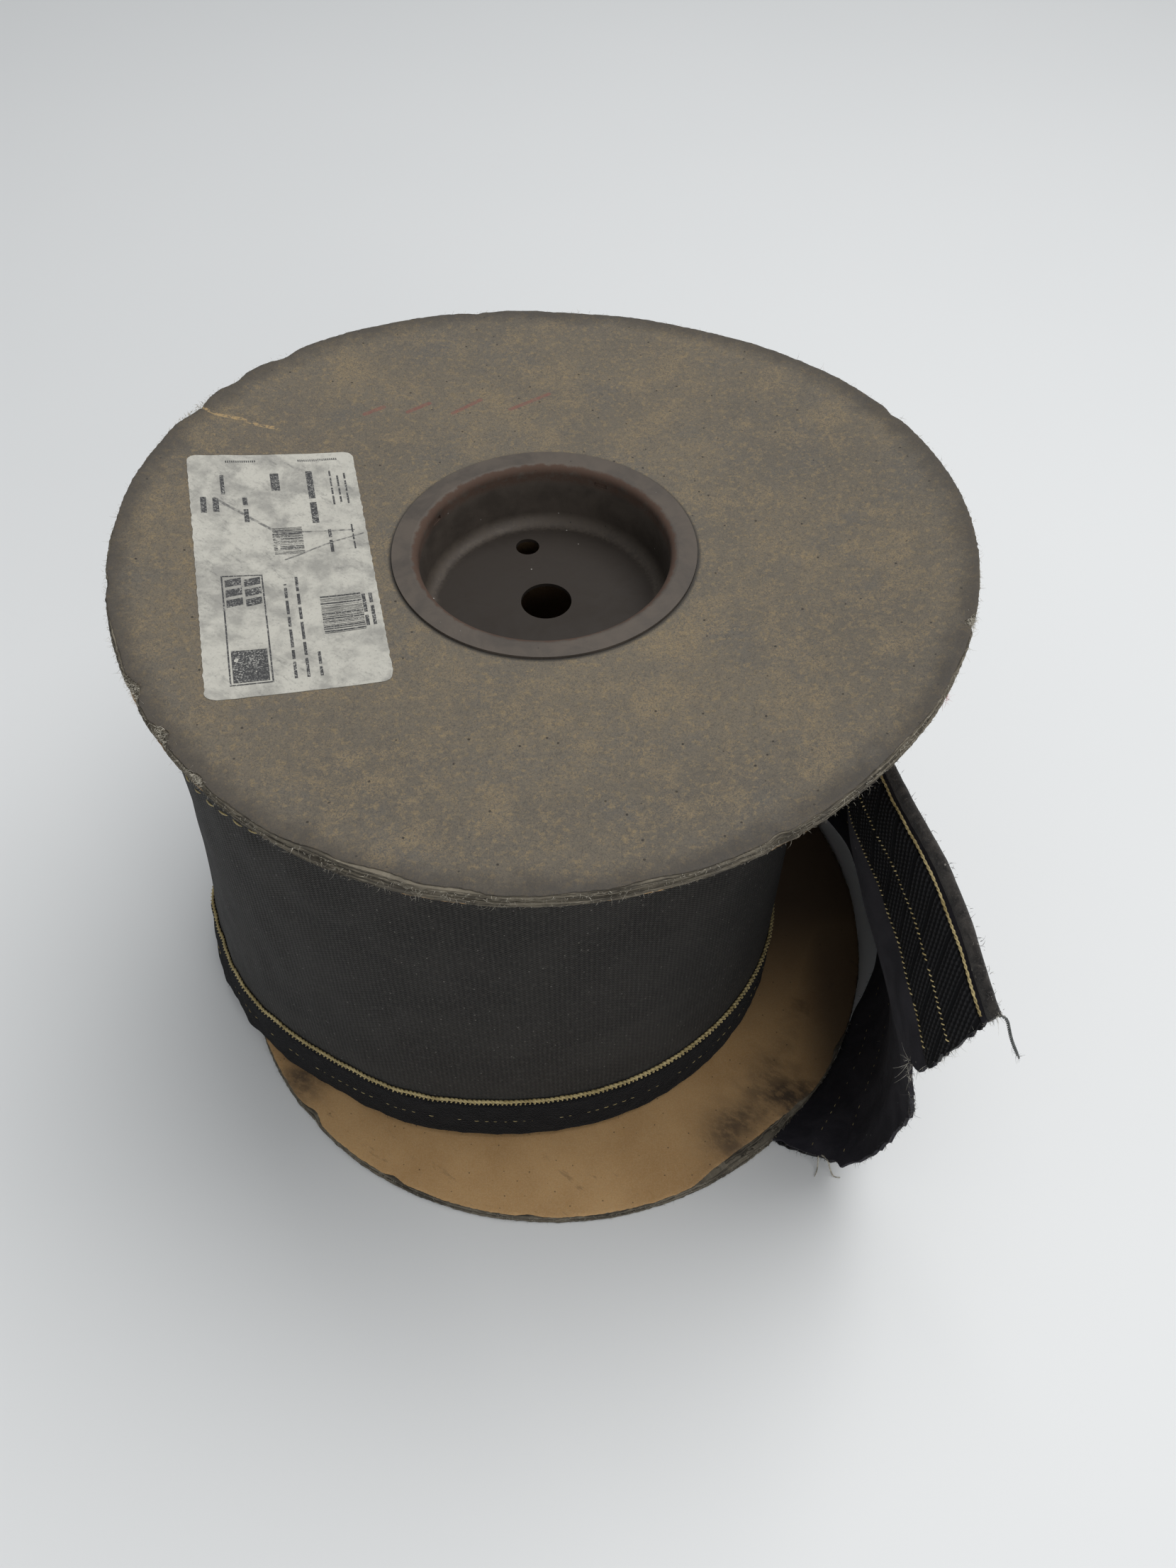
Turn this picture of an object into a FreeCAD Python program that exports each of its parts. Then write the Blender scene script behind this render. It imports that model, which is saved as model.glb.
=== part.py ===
"""Fibreboard spool of hook-and-loop woven cable wrap, standing on its lower flange.

Frame: millimetres, +Z up along the spool's axis, origin on the axis at the underside.
The spool is two laminated board flanges and a paper core tube, held by two stamped
steel hub cups. The wrap is a wide woven tape with a loop strip sewn along the lower
edge of its outer face and a hook strip along the upper edge of its inner face. Most of
it is tightly wound, the last turn has sprung loose, and its cut end stands at the right.
"""
import FreeCAD, Part
import math
import os

Vec = FreeCAD.Vector
AXIS = Vec(0, 0, 1)
ORIGIN = Vec(0, 0, 0)

# ---- spool ----
FLANGE_R = 127.0          # 10 in flange
SPOOL_HEIGHT = 212.3      # over the hub, to the top of the upper lip
LINER = 0.4               # kraft facing
PLY = 2.0                 # one ply of chipboard
FLANGE_T = 2 * PLY + 2 * LINER
LIP_R = 46.0
STEEL = 1.2
LIP_SEAT_R = LIP_R + 0.1  # the lip is pressed into the facing
CUP_R = 38.1              # inside of the cup, 3 in bore
CUP_DEPTH = 22.1
MOUTH_ROUND = 2.5         # inside radii of the stamped bends
FLOOR_ROUND = 4.0
ARBOR_R = 7.94            # 5/8 in arbor
DRIVE_R = 3.8
DRIVE_AT = Vec(-5.5, 25.7, 0)
BARB_AZIMUTHS = (61, 151, 241, 331)
BARB_WIDTH = 4.4
BARB_TOP = 3.4            # depths below the lip
BARB_FOOT = 5.3
BARB_REACH = 1.1          # how far a barb's tip stands out of the wall
CORE_WALL = 4.2
PRESS_GAP = 0.1           # cup wall to the board and core around it
UPPER_BOARD_TOP = SPOOL_HEIGHT - STEEL
UPPER_FLANGE_Z = UPPER_BOARD_TOP + LINER - FLANGE_T

# ---- warp of the upper flange: flat under the lip, its rim raised most at one diameter ----
WARP_MEAN = 6.1
WARP_SWING = 5.2
WARP_AZIMUTH = math.radians(-15)
WARP_POWER = 1.8
WARP_GRID = 8.0          # spacing of the surface's points

# ---- label ----
LABEL_AT = Vec(-76.7, -7.3, 0)
LABEL_LONG = 101.6        # 4 by 2 in
LABEL_SHORT = 50.8
LABEL_TURN = 10.5         # degrees, of the long side from Y
LABEL_CORNER = 3.0
LABEL_T = 0.2

# ---- wrap, across its width from the lower edge ----
WRAP_WIDTH = 193.0
FABRIC = 1.4
LAYER = 3.0               # one turn of fabric and strip
LOOP_STRIP = (1.5, 27.4, 1.6)          # from, to, thickness, on the outer face
LOOP_SEAM_UPPER = (27.4, 29.4, 1.5)
LOOP_SEAM_MIDDLE = (13.2, 14.2, 0.4)   # on the loop strip
HOOK_STRIP = (161.0, 186.6, 1.5)       # on the inner face
HOOK_SEAM_LOWER = (162.4, 163.4, 0.4)  # on the hook strip
HOOK_SEAM_MIDDLE = (173.6, 174.6, 0.4)
HOOK_SEAM_UPPER = (186.6, 188.4, 1.5)
EDGE_BINDING = (188.4, 193.0, 0.8)
SECTION_BREAKS = (0.0, 30.0, 60.0, 90.0, 120.0, 150.0, 193.0)
ROLL_R = 85.1             # roll under the start of the loose turn, one layer less all round
ROLL_FOOT = 5.4
TURN_START = 20.0         # azimuth where the loose turn leaves the roll, going clockwise
FLARE = 1.7               # how the loose turn's lean gathers towards its foot

# azimuth, foot radius, upper edge radius, foot height
LOOSE_TURN = [
    (20, 85.9, 87.5, 5.6), (-10, 86.2, 87.8, 5.6), (-40, 86.8, 88.2, 5.6),
    (-68, 89.0, 89.6, 5.6), (-90, 92.5, 92.5, 5.6), (-108, 97.5, 96.5, 5.6),
    (-124, 104.5, 102.5, 5.6), (-140, 112.5, 110.5, 5.6), (-154, 123.0, 117.5, 5.6),
    (-164, 131.0, 120.0, 5.0), (-174, 138.5, 121.5, 1.2), (-190, 144.5, 122.5, 0.5),
    (-220, 147.0, 124.5, 0.5), (-255, 144.5, 127.0, 0.5), (-290, 140.0, 128.5, 0.5),
    (-318, 136.0, 129.0, 0.5)]

# the tail: its foot stands round the lower flange's rim, one even step to a station
RAIL_HEIGHTS = (0.0, 30.0, 60.0, 105.0, 150.0, 193.0)
LOW_SPANS = 2             # spans between rails that lean with the foot
TAIL_AZIMUTH = 24.0
TAIL_STEP = -15.0
TAIL_LIFT = 0.5
# foot radius, directions that the low and high cloth lean in, drift of the high cloth towards
# the cut end, then the outward lean of each span; degrees
TAIL = [
    (135.0, 0, 0, 5, (0, 0, -1, -2, 0)),
    (136.0, -5, 0, 5, (-2, -9, -12, -11, -2)),
    (136.0, -10, 0, 4, (0, -17, -17, -17, -5)),
    (128.5, -25, 0, 5, (21, -12, -18, -20, 3)),
    (128.0, -30, 10, 6, (33, 0, -13, -14, 12)),
    (126.5, -34, 20, 9, (70, 20, 0, -12, 20))]
STEPS_PER_SPAN = 3        # ruled segments between two stations


def ring(inner, outer, z, height):
    """A flat ring about the axis."""
    return Part.makeCylinder(outer, height, Vec(0, 0, z)).cut(
        Part.makeCylinder(inner, height + 2, Vec(0, 0, z - 1)))


def polar(radius, azimuth_deg, z=0.0):
    a = math.radians(azimuth_deg)
    return Vec(radius * math.cos(a), radius * math.sin(a), z)


# ---- steel hub cups ----

def cup_profile():
    """Section of a cup whose lip faces up at z = 0, as a closed face in the XZ plane."""
    outer = CUP_R + STEEL

    def bend(cx, cz, radius, start_deg, end_deg):
        at = [math.radians(start_deg + (end_deg - start_deg) * k / 2) for k in range(3)]
        return Part.Arc(*[Vec(cx + radius * math.cos(a), 0, cz + radius * math.sin(a)) for a in at])

    mouth_x = CUP_R + MOUTH_ROUND
    floor_x = CUP_R - FLOOR_ROUND
    floor_z = FLOOR_ROUND - CUP_DEPTH
    bends = [
        bend(mouth_x, -MOUTH_ROUND, MOUTH_ROUND, 90, 180),
        bend(floor_x, floor_z, FLOOR_ROUND, 0, -90),
        bend(floor_x, floor_z, FLOOR_ROUND + STEEL, -90, 0),
        bend(mouth_x, -MOUTH_ROUND, MOUTH_ROUND - STEEL, 180, 90)]
    lines = [
        (Vec(LIP_R, 0, 0), Vec(mouth_x, 0, 0)),
        (Vec(CUP_R, 0, -MOUTH_ROUND), Vec(CUP_R, 0, floor_z)),
        (Vec(floor_x, 0, -CUP_DEPTH), Vec(ARBOR_R, 0, -CUP_DEPTH)),
        (Vec(ARBOR_R, 0, -CUP_DEPTH), Vec(ARBOR_R, 0, -CUP_DEPTH - STEEL)),
        (Vec(ARBOR_R, 0, -CUP_DEPTH - STEEL), Vec(floor_x, 0, -CUP_DEPTH - STEEL)),
        (Vec(outer, 0, floor_z), Vec(outer, 0, -MOUTH_ROUND)),
        (Vec(mouth_x, 0, -STEEL), Vec(LIP_R, 0, -STEEL)),
        (Vec(LIP_R, 0, -STEEL), Vec(LIP_R, 0, 0))]
    edges = [b.toShape() for b in bends] + [Part.makeLine(a, b) for a, b in lines]
    return Part.Face(Part.Wire(Part.__sortEdges__(edges)))


def barb(azimuth, reach, grow):
    """A tongue lanced out of the cup's wall, hinged at its foot; grow makes its window."""
    wall = CUP_R + STEEL
    section = Part.Face(Part.makePolygon([
        Vec(CUP_R + 0.3 - grow, 0, -BARB_FOOT), Vec(wall + grow / 4, 0, -BARB_FOOT),
        Vec(wall + reach, 0, -BARB_TOP), Vec(wall + reach - 0.8 - 2 * grow, 0, -BARB_TOP),
        Vec(CUP_R + 0.3 - grow, 0, -BARB_FOOT)]))
    spread = math.degrees(BARB_WIDTH / wall)
    section.rotate(ORIGIN, AXIS, azimuth - spread / 2)
    return section.revolve(ORIGIN, AXIS, spread)


def barbs():
    tongues = [barb(a, BARB_REACH, 0.0) for a in BARB_AZIMUTHS]
    return tongues[0].fuse(tongues[1:])


def hub_cup():
    """One cup, lip up at z = 0, with its arbor hole, drive hole and lanced barbs."""
    cup = cup_profile().revolve(ORIGIN, AXIS, 360)
    cup = Part.Solid(cup) if cup.ShapeType != "Solid" else cup
    drive_hole = Part.makeCylinder(DRIVE_R, 3 * STEEL, DRIVE_AT - Vec(0, 0, CUP_DEPTH + 2 * STEEL))
    cup = cup.cut(drive_hole)
    spread = math.degrees(BARB_WIDTH / CUP_R)
    for azimuth in BARB_AZIMUTHS:
        window = Part.Face(Part.makePolygon([
            Vec(CUP_R - 1, 0, -BARB_FOOT + 0.4), Vec(CUP_R + 3, 0, -BARB_FOOT + 0.4),
            Vec(CUP_R + 3, 0, -BARB_TOP), Vec(CUP_R - 1, 0, -BARB_TOP),
            Vec(CUP_R - 1, 0, -BARB_FOOT + 0.4)]))
        window.rotate(ORIGIN, AXIS, azimuth - spread / 2)
        cup = cup.cut(window.revolve(ORIGIN, AXIS, spread))
    return cup.fuse(barbs()).removeSplitter()


def placed_upper(shape):
    """Something drawn with the lip at z = 0, facing up, put at the top of the spool."""
    copy = shape.copy()
    copy.translate(Vec(0, 0, SPOOL_HEIGHT))
    return copy


def placed_lower(shape):
    """The same thing turned over about the X axis, its lip flush with the underside."""
    copy = shape.copy()
    copy.rotate(ORIGIN, Vec(1, 0, 0), 180)
    return copy


# ---- flanges ----

def warp(x, y):
    """Height of the warped upper flange above its flat hub."""
    r = math.hypot(x, y)
    if r <= LIP_SEAT_R:
        return 0.0
    share = ((r - LIP_SEAT_R) / (FLANGE_R - LIP_SEAT_R)) ** WARP_POWER
    return share * (WARP_MEAN + WARP_SWING * math.cos(2 * (math.atan2(y, x) - WARP_AZIMUTH)))


def warped_sheet(z, thickness):
    """A square sheet of even thickness that follows the warp, its underside at height z."""
    count = int(FLANGE_R / WARP_GRID) + 1
    at = [WARP_GRID * k for k in range(-count, count + 1)]
    surface = Part.BSplineSurface()
    surface.interpolate([[Vec(x, y, z + warp(x, y)) for y in at] for x in at])
    return surface.toShape().extrude(Vec(0, 0, thickness))


def warped_ring(z, thickness, inner):
    """A ring of the warped sheet, with its plain flat part under the lip."""
    return warped_sheet(z, thickness).common(ring(inner, FLANGE_R, z - 5, 40)).Solids[0]


def upper_flange():
    clear_r = CUP_R + STEEL + PRESS_GAP
    bend_r = CUP_R + MOUTH_ROUND + PRESS_GAP
    bite = placed_upper(barbs())
    z = UPPER_FLANGE_Z
    return {
        "upper_flange_inner_liner": warped_ring(z, LINER, clear_r),
        "upper_flange_inner_ply": warped_ring(z + LINER, PLY, clear_r).cut(bite),
        "upper_flange_outer_ply": warped_ring(z + LINER + PLY, PLY, bend_r).cut(bite),
        "upper_flange_outer_liner": warped_ring(z + LINER + 2 * PLY, LINER, LIP_SEAT_R)}


def lower_flange():
    clear_r = CUP_R + STEEL + PRESS_GAP
    bend_r = CUP_R + MOUTH_ROUND + PRESS_GAP
    bite = placed_lower(barbs())
    outer_t = PLY + LINER
    outer_ply = ring(bend_r, FLANGE_R, 0, outer_t).cut(ring(1, LIP_SEAT_R, -1, 1 + STEEL))
    return {
        "lower_flange_outer_ply": outer_ply,
        "lower_flange_inner_ply": ring(clear_r, FLANGE_R, outer_t, PLY).cut(bite),
        "lower_flange_inner_liner": ring(clear_r, FLANGE_R, outer_t + PLY, LINER).cut(bite)}


def core_tube():
    inner = CUP_R + STEEL + PRESS_GAP
    tube = ring(inner, inner + CORE_WALL, FLANGE_T, UPPER_FLANGE_Z - FLANGE_T)
    return tube.cut(placed_lower(barbs())).cut(placed_upper(barbs()))


def label():
    """The paper label, lying on the warped outer face."""
    flat = Part.makeBox(LABEL_SHORT, LABEL_LONG, 30, Vec(-LABEL_SHORT / 2, -LABEL_LONG / 2, 0))
    upright = [e for e in flat.Edges if abs(e.tangentAt(e.FirstParameter).z) > 0.9]
    block = flat.makeFillet(LABEL_CORNER, upright)
    block.rotate(ORIGIN, AXIS, LABEL_TURN)
    block.translate(LABEL_AT + Vec(0, 0, UPPER_BOARD_TOP - 5))
    return warped_sheet(UPPER_BOARD_TOP + LINER, LABEL_T).common(block).Solids[0]


# ---- wrap ----

def roll_radius(azimuth):
    """The roll's spiral outside: one layer lower just after the loose turn starts."""
    return ROLL_R + LAYER * ((TURN_START - azimuth) % 360) / 360


def spiral_block(inset, z, height):
    """A block with the roll's spiral outline, drawn in by inset."""
    azimuths = [TURN_START - 15 * k for k in range(24)] + [TURN_START - 359.99]
    spiral = Part.BSplineCurve()
    spiral.interpolate([polar(roll_radius(a) - inset, a, z) for a in azimuths])
    step = Part.makeLine(spiral.value(spiral.LastParameter), spiral.value(spiral.FirstParameter))
    return Part.Face(Part.Wire([spiral.toShape(), step])).extrude(Vec(0, 0, height))


def wound_roll():
    """The tight roll, without the loop strip on its last turn."""
    inner = CUP_R + STEEL + PRESS_GAP + CORE_WALL + PRESS_GAP
    hole = Part.makeCylinder(inner, WRAP_WIDTH + 2, Vec(0, 0, ROLL_FOOT - 1))
    return spiral_block(LOOP_STRIP[2], ROLL_FOOT, WRAP_WIDTH).cut(hole)


def roll_loop_strip():
    """The loop strip on the roll's last turn."""
    low, high, thickness = LOOP_STRIP
    outer = spiral_block(0, ROLL_FOOT + low, high - low)
    return outer.cut(spiral_block(thickness, ROLL_FOOT + low - 1, high - low + 2))


def turn_station(azimuth, foot_r, edge_r, foot_z):
    """Rail points of the loose turn in one upright plane through the axis."""
    points = []
    for s in RAIL_HEIGHTS:
        lean = (1 - s / WRAP_WIDTH) ** FLARE
        points.append(polar(edge_r + (foot_r - edge_r) * lean, azimuth, foot_z + 0.995 * s))
    return points


def tail_station(number, foot_r, low_way, high_way, drift, leans):
    """Rail points of one station of the tail, stepping up the cloth's own width from its foot."""
    lift = TAIL_LIFT + LOOP_STRIP[2] * math.sin(math.radians(max(leans[0], 0)))
    points = [polar(foot_r, TAIL_AZIMUTH + TAIL_STEP * number, lift)]
    for span, lean in enumerate(leans):
        high = span >= LOW_SPANS
        way = high_way if high else low_way
        flat = polar(math.sin(math.radians(lean)), way, 0)
        if high:
            flat = flat - Vec(0, math.sin(math.radians(drift)), 0)
        rise = math.sqrt(1 - flat.Length ** 2)
        length = RAIL_HEIGHTS[span + 1] - RAIL_HEIGHTS[span]
        points.append(points[-1] + (flat + Vec(0, 0, rise)) * length)
    return points


def wrap_rails():
    """Curves along the loose turn and tail, each at a fixed place across the width."""
    stations = [turn_station(*row) for row in LOOSE_TURN]
    stations += [tail_station(number, *row) for number, row in enumerate(TAIL)]
    rails = []
    for points in zip(*stations):
        rail = Part.BSplineCurve()
        rail.interpolate(Points=list(points), Parameters=[float(n) for n in range(len(points))])
        rails.append(rail)
    return rails


RAILS = wrap_rails()


def cross_section(u):
    """The wrap's middle line across its width at station u."""
    curve = Part.BSplineCurve()
    curve.interpolate(Points=[rail.value(u) for rail in RAILS], Parameters=list(RAIL_HEIGHTS))
    return curve


def outward(u, s):
    """Unit normal of the wrap at station u and height s, away from the roll."""
    last = len(LOOSE_TURN) + len(TAIL) - 1
    before = cross_section(max(u - 0.1, 0.0)).value(s)
    after = cross_section(min(u + 0.1, float(last))).value(s)
    across = cross_section(u)
    up = across.value(min(s + 2, WRAP_WIDTH)) - across.value(max(s - 2, 0.0))
    normal = up.cross(after - before)
    return normal.normalize()


def on_breaks(u, s):
    """Middle point and normal on the straight chord between two section breaks."""
    for low, high in zip(SECTION_BREAKS, SECTION_BREAKS[1:]):
        if s <= high:
            break
    t = (s - low) / (high - low)
    across = cross_section(u)
    middle = across.value(low) * (1 - t) + across.value(high) * t
    normal = outward(u, low) * (1 - t) + outward(u, high) * t
    return middle, normal


def quad(a, b, c, d):
    """The ruled face between the edges a-b and d-c."""
    return Part.makeRuledSurface(Part.makeLine(a, b), Part.makeLine(d, c))


def swept(stations, section, cap_quads):
    """A closed ruled solid from a section of (height across, distance outward) corners."""
    rows = []
    for u in stations:
        spots = [on_breaks(u, s) for s, _ in section]
        rows.append([m + n * d for (m, n), (_, d) in zip(spots, section)])
    faces = [quad(a[k - 1], a[k], b[k], b[k - 1])
             for a, b in zip(rows, rows[1:]) for k in range(len(a))]
    faces += [quad(*[row[k] for k in corners]) for row in (rows[0], rows[-1]) for corners in cap_quads]
    shell = Part.makeShell(faces)
    shell.sewShape()
    solid = Part.makeSolid(shell)
    if solid.Volume < 0:
        solid.reverse()
    return solid


def band(stations, heights, near, far):
    """A closed band: heights across the wrap, near and far from its middle surface."""
    section = [(s, far) for s in heights] + [(s, near) for s in reversed(heights)]
    last = len(section) - 1
    caps = [(k, k + 1, last - k - 1, last - k) for k in range(len(heights) - 1)]
    return swept(stations, section, caps)


def stations_between(first, last):
    count = (last - first) * STEPS_PER_SPAN
    return [first + (last - first) * k / count for k in range(count + 1)]


TURN_STATIONS = stations_between(0, len(LOOSE_TURN))
TAIL_STATIONS = stations_between(len(LOOSE_TURN), len(LOOSE_TURN) + len(TAIL) - 1)
ALL_STATIONS = TURN_STATIONS + TAIL_STATIONS[1:]


def outer_band(stations, strip, base=0.0):
    """A strip on the outer face, standing on base more than the fabric."""
    low, high, thickness = strip
    return band(stations, (low, high), FABRIC / 2 + base, FABRIC / 2 + base + thickness)


def inner_band(stations, strip, base=0.0):
    """The same on the inner face."""
    low, high, thickness = strip
    return band(stations, (low, high), -FABRIC / 2 - base - thickness, -FABRIC / 2 - base)


def edge_binding():
    """The bound upper edge: a tape folded over the fabric."""
    low, high, thickness = EDGE_BINDING
    half = FABRIC / 2
    out = half + thickness
    fold = high - thickness
    section = [(low, half), (low, out), (high, out), (high, -out), (low, -out), (low, -half),
               (fold, -half), (fold, half)]
    return swept(ALL_STATIONS, section, [(0, 1, 2, 7), (2, 3, 6, 7), (3, 4, 5, 6)])


def wrap():
    fabric = SECTION_BREAKS[:-1] + (EDGE_BINDING[1] - EDGE_BINDING[2],)
    half = FABRIC / 2
    hook_t = HOOK_STRIP[2]
    loop_t = LOOP_STRIP[2]
    return {
        "wound_roll": wound_roll(),
        "roll_loop_strip": roll_loop_strip(),
        "loose_turn_fabric": band(TURN_STATIONS, fabric, -half, half),
        "tail_fabric": band(TAIL_STATIONS, fabric, -half, half),
        "loose_turn_loop_strip": outer_band(TURN_STATIONS, LOOP_STRIP),
        "tail_loop_strip": outer_band(TAIL_STATIONS, LOOP_STRIP),
        "loose_turn_hook_strip": inner_band(TURN_STATIONS, HOOK_STRIP),
        "tail_hook_strip": inner_band(TAIL_STATIONS, HOOK_STRIP),
        "loop_seam_upper": outer_band(ALL_STATIONS, LOOP_SEAM_UPPER),
        "loop_seam_middle": outer_band(ALL_STATIONS, LOOP_SEAM_MIDDLE, loop_t),
        "hook_seam_lower": inner_band(ALL_STATIONS, HOOK_SEAM_LOWER, hook_t),
        "hook_seam_middle": inner_band(ALL_STATIONS, HOOK_SEAM_MIDDLE, hook_t),
        "hook_seam_upper": inner_band(ALL_STATIONS, HOOK_SEAM_UPPER),
        "edge_binding": edge_binding()}


def main():
    os.makedirs("parts", exist_ok=True)
    cup = hub_cup()
    nodes = {"upper_hub_cup": placed_upper(cup), "lower_hub_cup": placed_lower(cup)}
    nodes.update(upper_flange())
    nodes.update(lower_flange())
    nodes["core_tube"] = core_tube()
    nodes["label"] = label()
    nodes.update(wrap())
    for name, shape in nodes.items():
        shape.exportStep(f"parts/{name}.step")
        box = shape.optimalBoundingBox(False)
        print(f"{name:26s} solids {len(shape.Solids)} valid {shape.isValid()} volume {shape.Volume:10.0f} "
              f"x {box.XMin:.1f} {box.XMax:.1f} y {box.YMin:.1f} {box.YMax:.1f} z {box.ZMin:.2f} {box.ZMax:.2f}")


main()
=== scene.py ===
"""Looks of the fibreboard spool of hook-and-loop cable wrap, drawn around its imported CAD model.

Blender objects are in metres in the CAD's frame. Shapes are worked out in millimetres with
numpy and scaled once, where a mesh is made.
"""
import math

import bpy
import numpy as np
from mathutils import Matrix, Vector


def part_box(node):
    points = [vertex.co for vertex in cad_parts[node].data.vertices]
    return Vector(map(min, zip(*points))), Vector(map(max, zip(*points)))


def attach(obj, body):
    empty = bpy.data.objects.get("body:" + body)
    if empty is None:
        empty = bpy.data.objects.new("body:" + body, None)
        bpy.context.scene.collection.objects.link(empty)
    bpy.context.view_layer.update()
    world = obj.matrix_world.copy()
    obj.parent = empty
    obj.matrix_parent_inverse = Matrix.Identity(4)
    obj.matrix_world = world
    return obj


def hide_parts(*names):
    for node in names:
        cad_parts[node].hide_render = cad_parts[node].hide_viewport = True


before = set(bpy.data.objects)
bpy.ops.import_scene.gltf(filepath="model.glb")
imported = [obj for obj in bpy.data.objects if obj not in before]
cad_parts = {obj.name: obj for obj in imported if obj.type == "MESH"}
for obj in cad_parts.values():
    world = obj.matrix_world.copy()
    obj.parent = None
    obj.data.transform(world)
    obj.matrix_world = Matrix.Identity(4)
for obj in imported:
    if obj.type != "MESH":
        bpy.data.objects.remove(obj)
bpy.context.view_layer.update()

MM = 0.001


def low(node):
    return np.array(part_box(node)[0]) / MM


def high(node):
    return np.array(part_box(node)[1]) / MM


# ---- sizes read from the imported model, mm ----
RIM_R = high("lower_flange_outer_ply")[0]
LIP_R = high("upper_hub_cup")[0]
LIP_TOP = high("upper_hub_cup")[2]
CORE_R = high("core_tube")[0]
BOARD_TOP = LIP_TOP - 0.8
FLANGE_T = high("lower_flange_inner_liner")[2]
LINER_T = FLANGE_T - high("lower_flange_inner_ply")[2]
PLY_T = high("lower_flange_inner_ply")[2] - low("lower_flange_inner_ply")[2]
CUP_OUTER_R = 39.3
LABEL_MIDDLE = (low("label") + high("label")) / 2

# ---- warp of the upper flange, as in the CAD ----
WARP_SEAT = LIP_R + 0.1
WARP_MEAN = 6.1
WARP_SWING = 5.2
WARP_AZIMUTH = math.radians(-15)
WARP_POWER = 1.8

# ---- wrap, across its width from the lower edge ----
WIDTH = 193.0
HALF_CLOTH = 0.7
LAYER = 3.0
FIRST_AZIMUTH = 20.0
SPAN_DEG = 30.0               # wound part: degrees of one station
WOUND_R = 85.9                # cloth's middle where the loose turn starts
FLARE = 1.7
HEIGHTS = (0.0, 30.0, 60.0, 105.0, 150.0, 193.0)
# azimuth, foot radius, upper edge radius, foot height
LOOSE_TURN = [
    (20, 85.9, 87.5, 5.6), (-10, 86.2, 87.8, 5.6), (-40, 86.8, 88.2, 5.6),
    (-68, 89.0, 89.6, 5.6), (-90, 92.5, 92.5, 5.6), (-108, 97.5, 96.5, 5.6),
    (-124, 104.5, 102.5, 5.6), (-140, 112.5, 110.5, 5.6), (-154, 123.0, 117.5, 5.6),
    (-164, 131.0, 120.0, 5.0), (-174, 138.5, 121.5, 1.2), (-190, 144.5, 122.5, 0.5),
    (-220, 147.0, 124.5, 0.5), (-255, 144.5, 127.0, 0.5), (-290, 140.0, 128.5, 0.5),
    (-318, 136.0, 129.0, 0.5)]
# the tail: its foot stands round the lower flange's rim, one even step to a station
LOW_SPANS = 2                 # spans between heights that lean with the foot
TAIL_AZIMUTH = 24.0
TAIL_STEP = -15.0
TAIL_LIFT = 0.5
STRIP_T = 1.6
# foot radius, directions that the low and high cloth lean in, drift of the high cloth towards
# the cut end, then the outward lean of each span; degrees
TAIL = [
    (135.0, 0, 0, 5, (0, 0, -1, -2, 0)),
    (136.0, -5, 0, 5, (-2, -9, -12, -11, -2)),
    (136.0, -10, 0, 4, (0, -17, -17, -17, -5)),
    (128.5, -25, 0, 5, (21, -12, -18, -20, 3)),
    (128.0, -30, 10, 6, (33, 0, -13, -14, 12)),
    (126.5, -34, 20, 9, (70, 20, 0, -12, 20))]
TAIL_START = len(LOOSE_TURN)
CUT_STATION = 21.0            # the ragged cut, nearly straight, with one torn notch
NOTCH_AT = 146.0
NOTCH_HALF = 6.0
NOTCH_DEPTH = 0.13            # in stations
RAGGED_FROM = 19.5            # stations beyond this one are stretched to the cut


# ---------------------------------------------------------------- small maths

def spline(knots, values):
    """The natural cubic spline through values at knots, as a function of an array."""
    x = np.asarray(knots, float)
    shape = np.shape(values)[1:]
    y = np.asarray(values, float).reshape(len(x), -1)
    step = np.diff(x)
    matrix = np.eye(len(x))
    target = np.zeros_like(y)
    for k in range(1, len(x) - 1):
        matrix[k, k - 1:k + 2] = step[k - 1], 2 * (step[k - 1] + step[k]), step[k]
        target[k] = 3 * ((y[k + 1] - y[k]) / step[k] - (y[k] - y[k - 1]) / step[k - 1])
    c = np.linalg.solve(matrix, target)

    def value(t):
        t = np.atleast_1d(np.asarray(t, float))
        k = np.clip(np.searchsorted(x, t) - 1, 0, len(x) - 2)
        d = (t - x[k])[:, None]
        h = step[k][:, None]
        slope = (y[k + 1] - y[k]) / h - h * (2 * c[k] + c[k + 1]) / 3
        out = y[k] + slope * d + c[k] * d ** 2 + (c[k + 1] - c[k]) / (3 * h) * d ** 3
        return out.reshape((len(t),) + shape)

    return value


def ripple(at, longest, shortest, seed, count=14):
    """Smooth random relief of size about 1 over an (n, 2) or (n, 3) array of places in mm."""
    rng = np.random.default_rng(seed)
    at = np.asarray(at, float)
    out = np.zeros(at.shape[:-1])
    for _ in range(count):
        wave = longest * (shortest / longest) ** rng.random()
        way = rng.normal(size=at.shape[-1])
        way *= 2 * math.pi / wave / np.linalg.norm(way)
        out += np.sin(at @ way + rng.random() * 2 * math.pi) * (wave / longest) ** 0.5
    return out / math.sqrt(count / 2)


def round_ripple(azimuth, lowest, highest, seed, count=40):
    """The same round a rim, closing on itself; azimuth in radians, harmonics as given."""
    rng = np.random.default_rng(seed)
    out = np.zeros_like(azimuth)
    for _ in range(count):
        harmonic = round(lowest * (highest / lowest) ** rng.random())
        out += np.sin(harmonic * azimuth + rng.random() * 2 * math.pi)
    return out / math.sqrt(count / 2)


def bump_at(azimuth, centre_deg, width_deg):
    """A bell round one azimuth."""
    off = (np.degrees(azimuth) - centre_deg + 180) % 360 - 180
    return np.exp(-(off / width_deg) ** 2)


def smooth_step(value, a, b):
    t = np.clip((value - a) / (b - a), 0, 1)
    return t * t * (3 - 2 * t)


def unit(v):
    return v / np.maximum(np.linalg.norm(v, axis=-1, keepdims=True), 1e-9)


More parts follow.
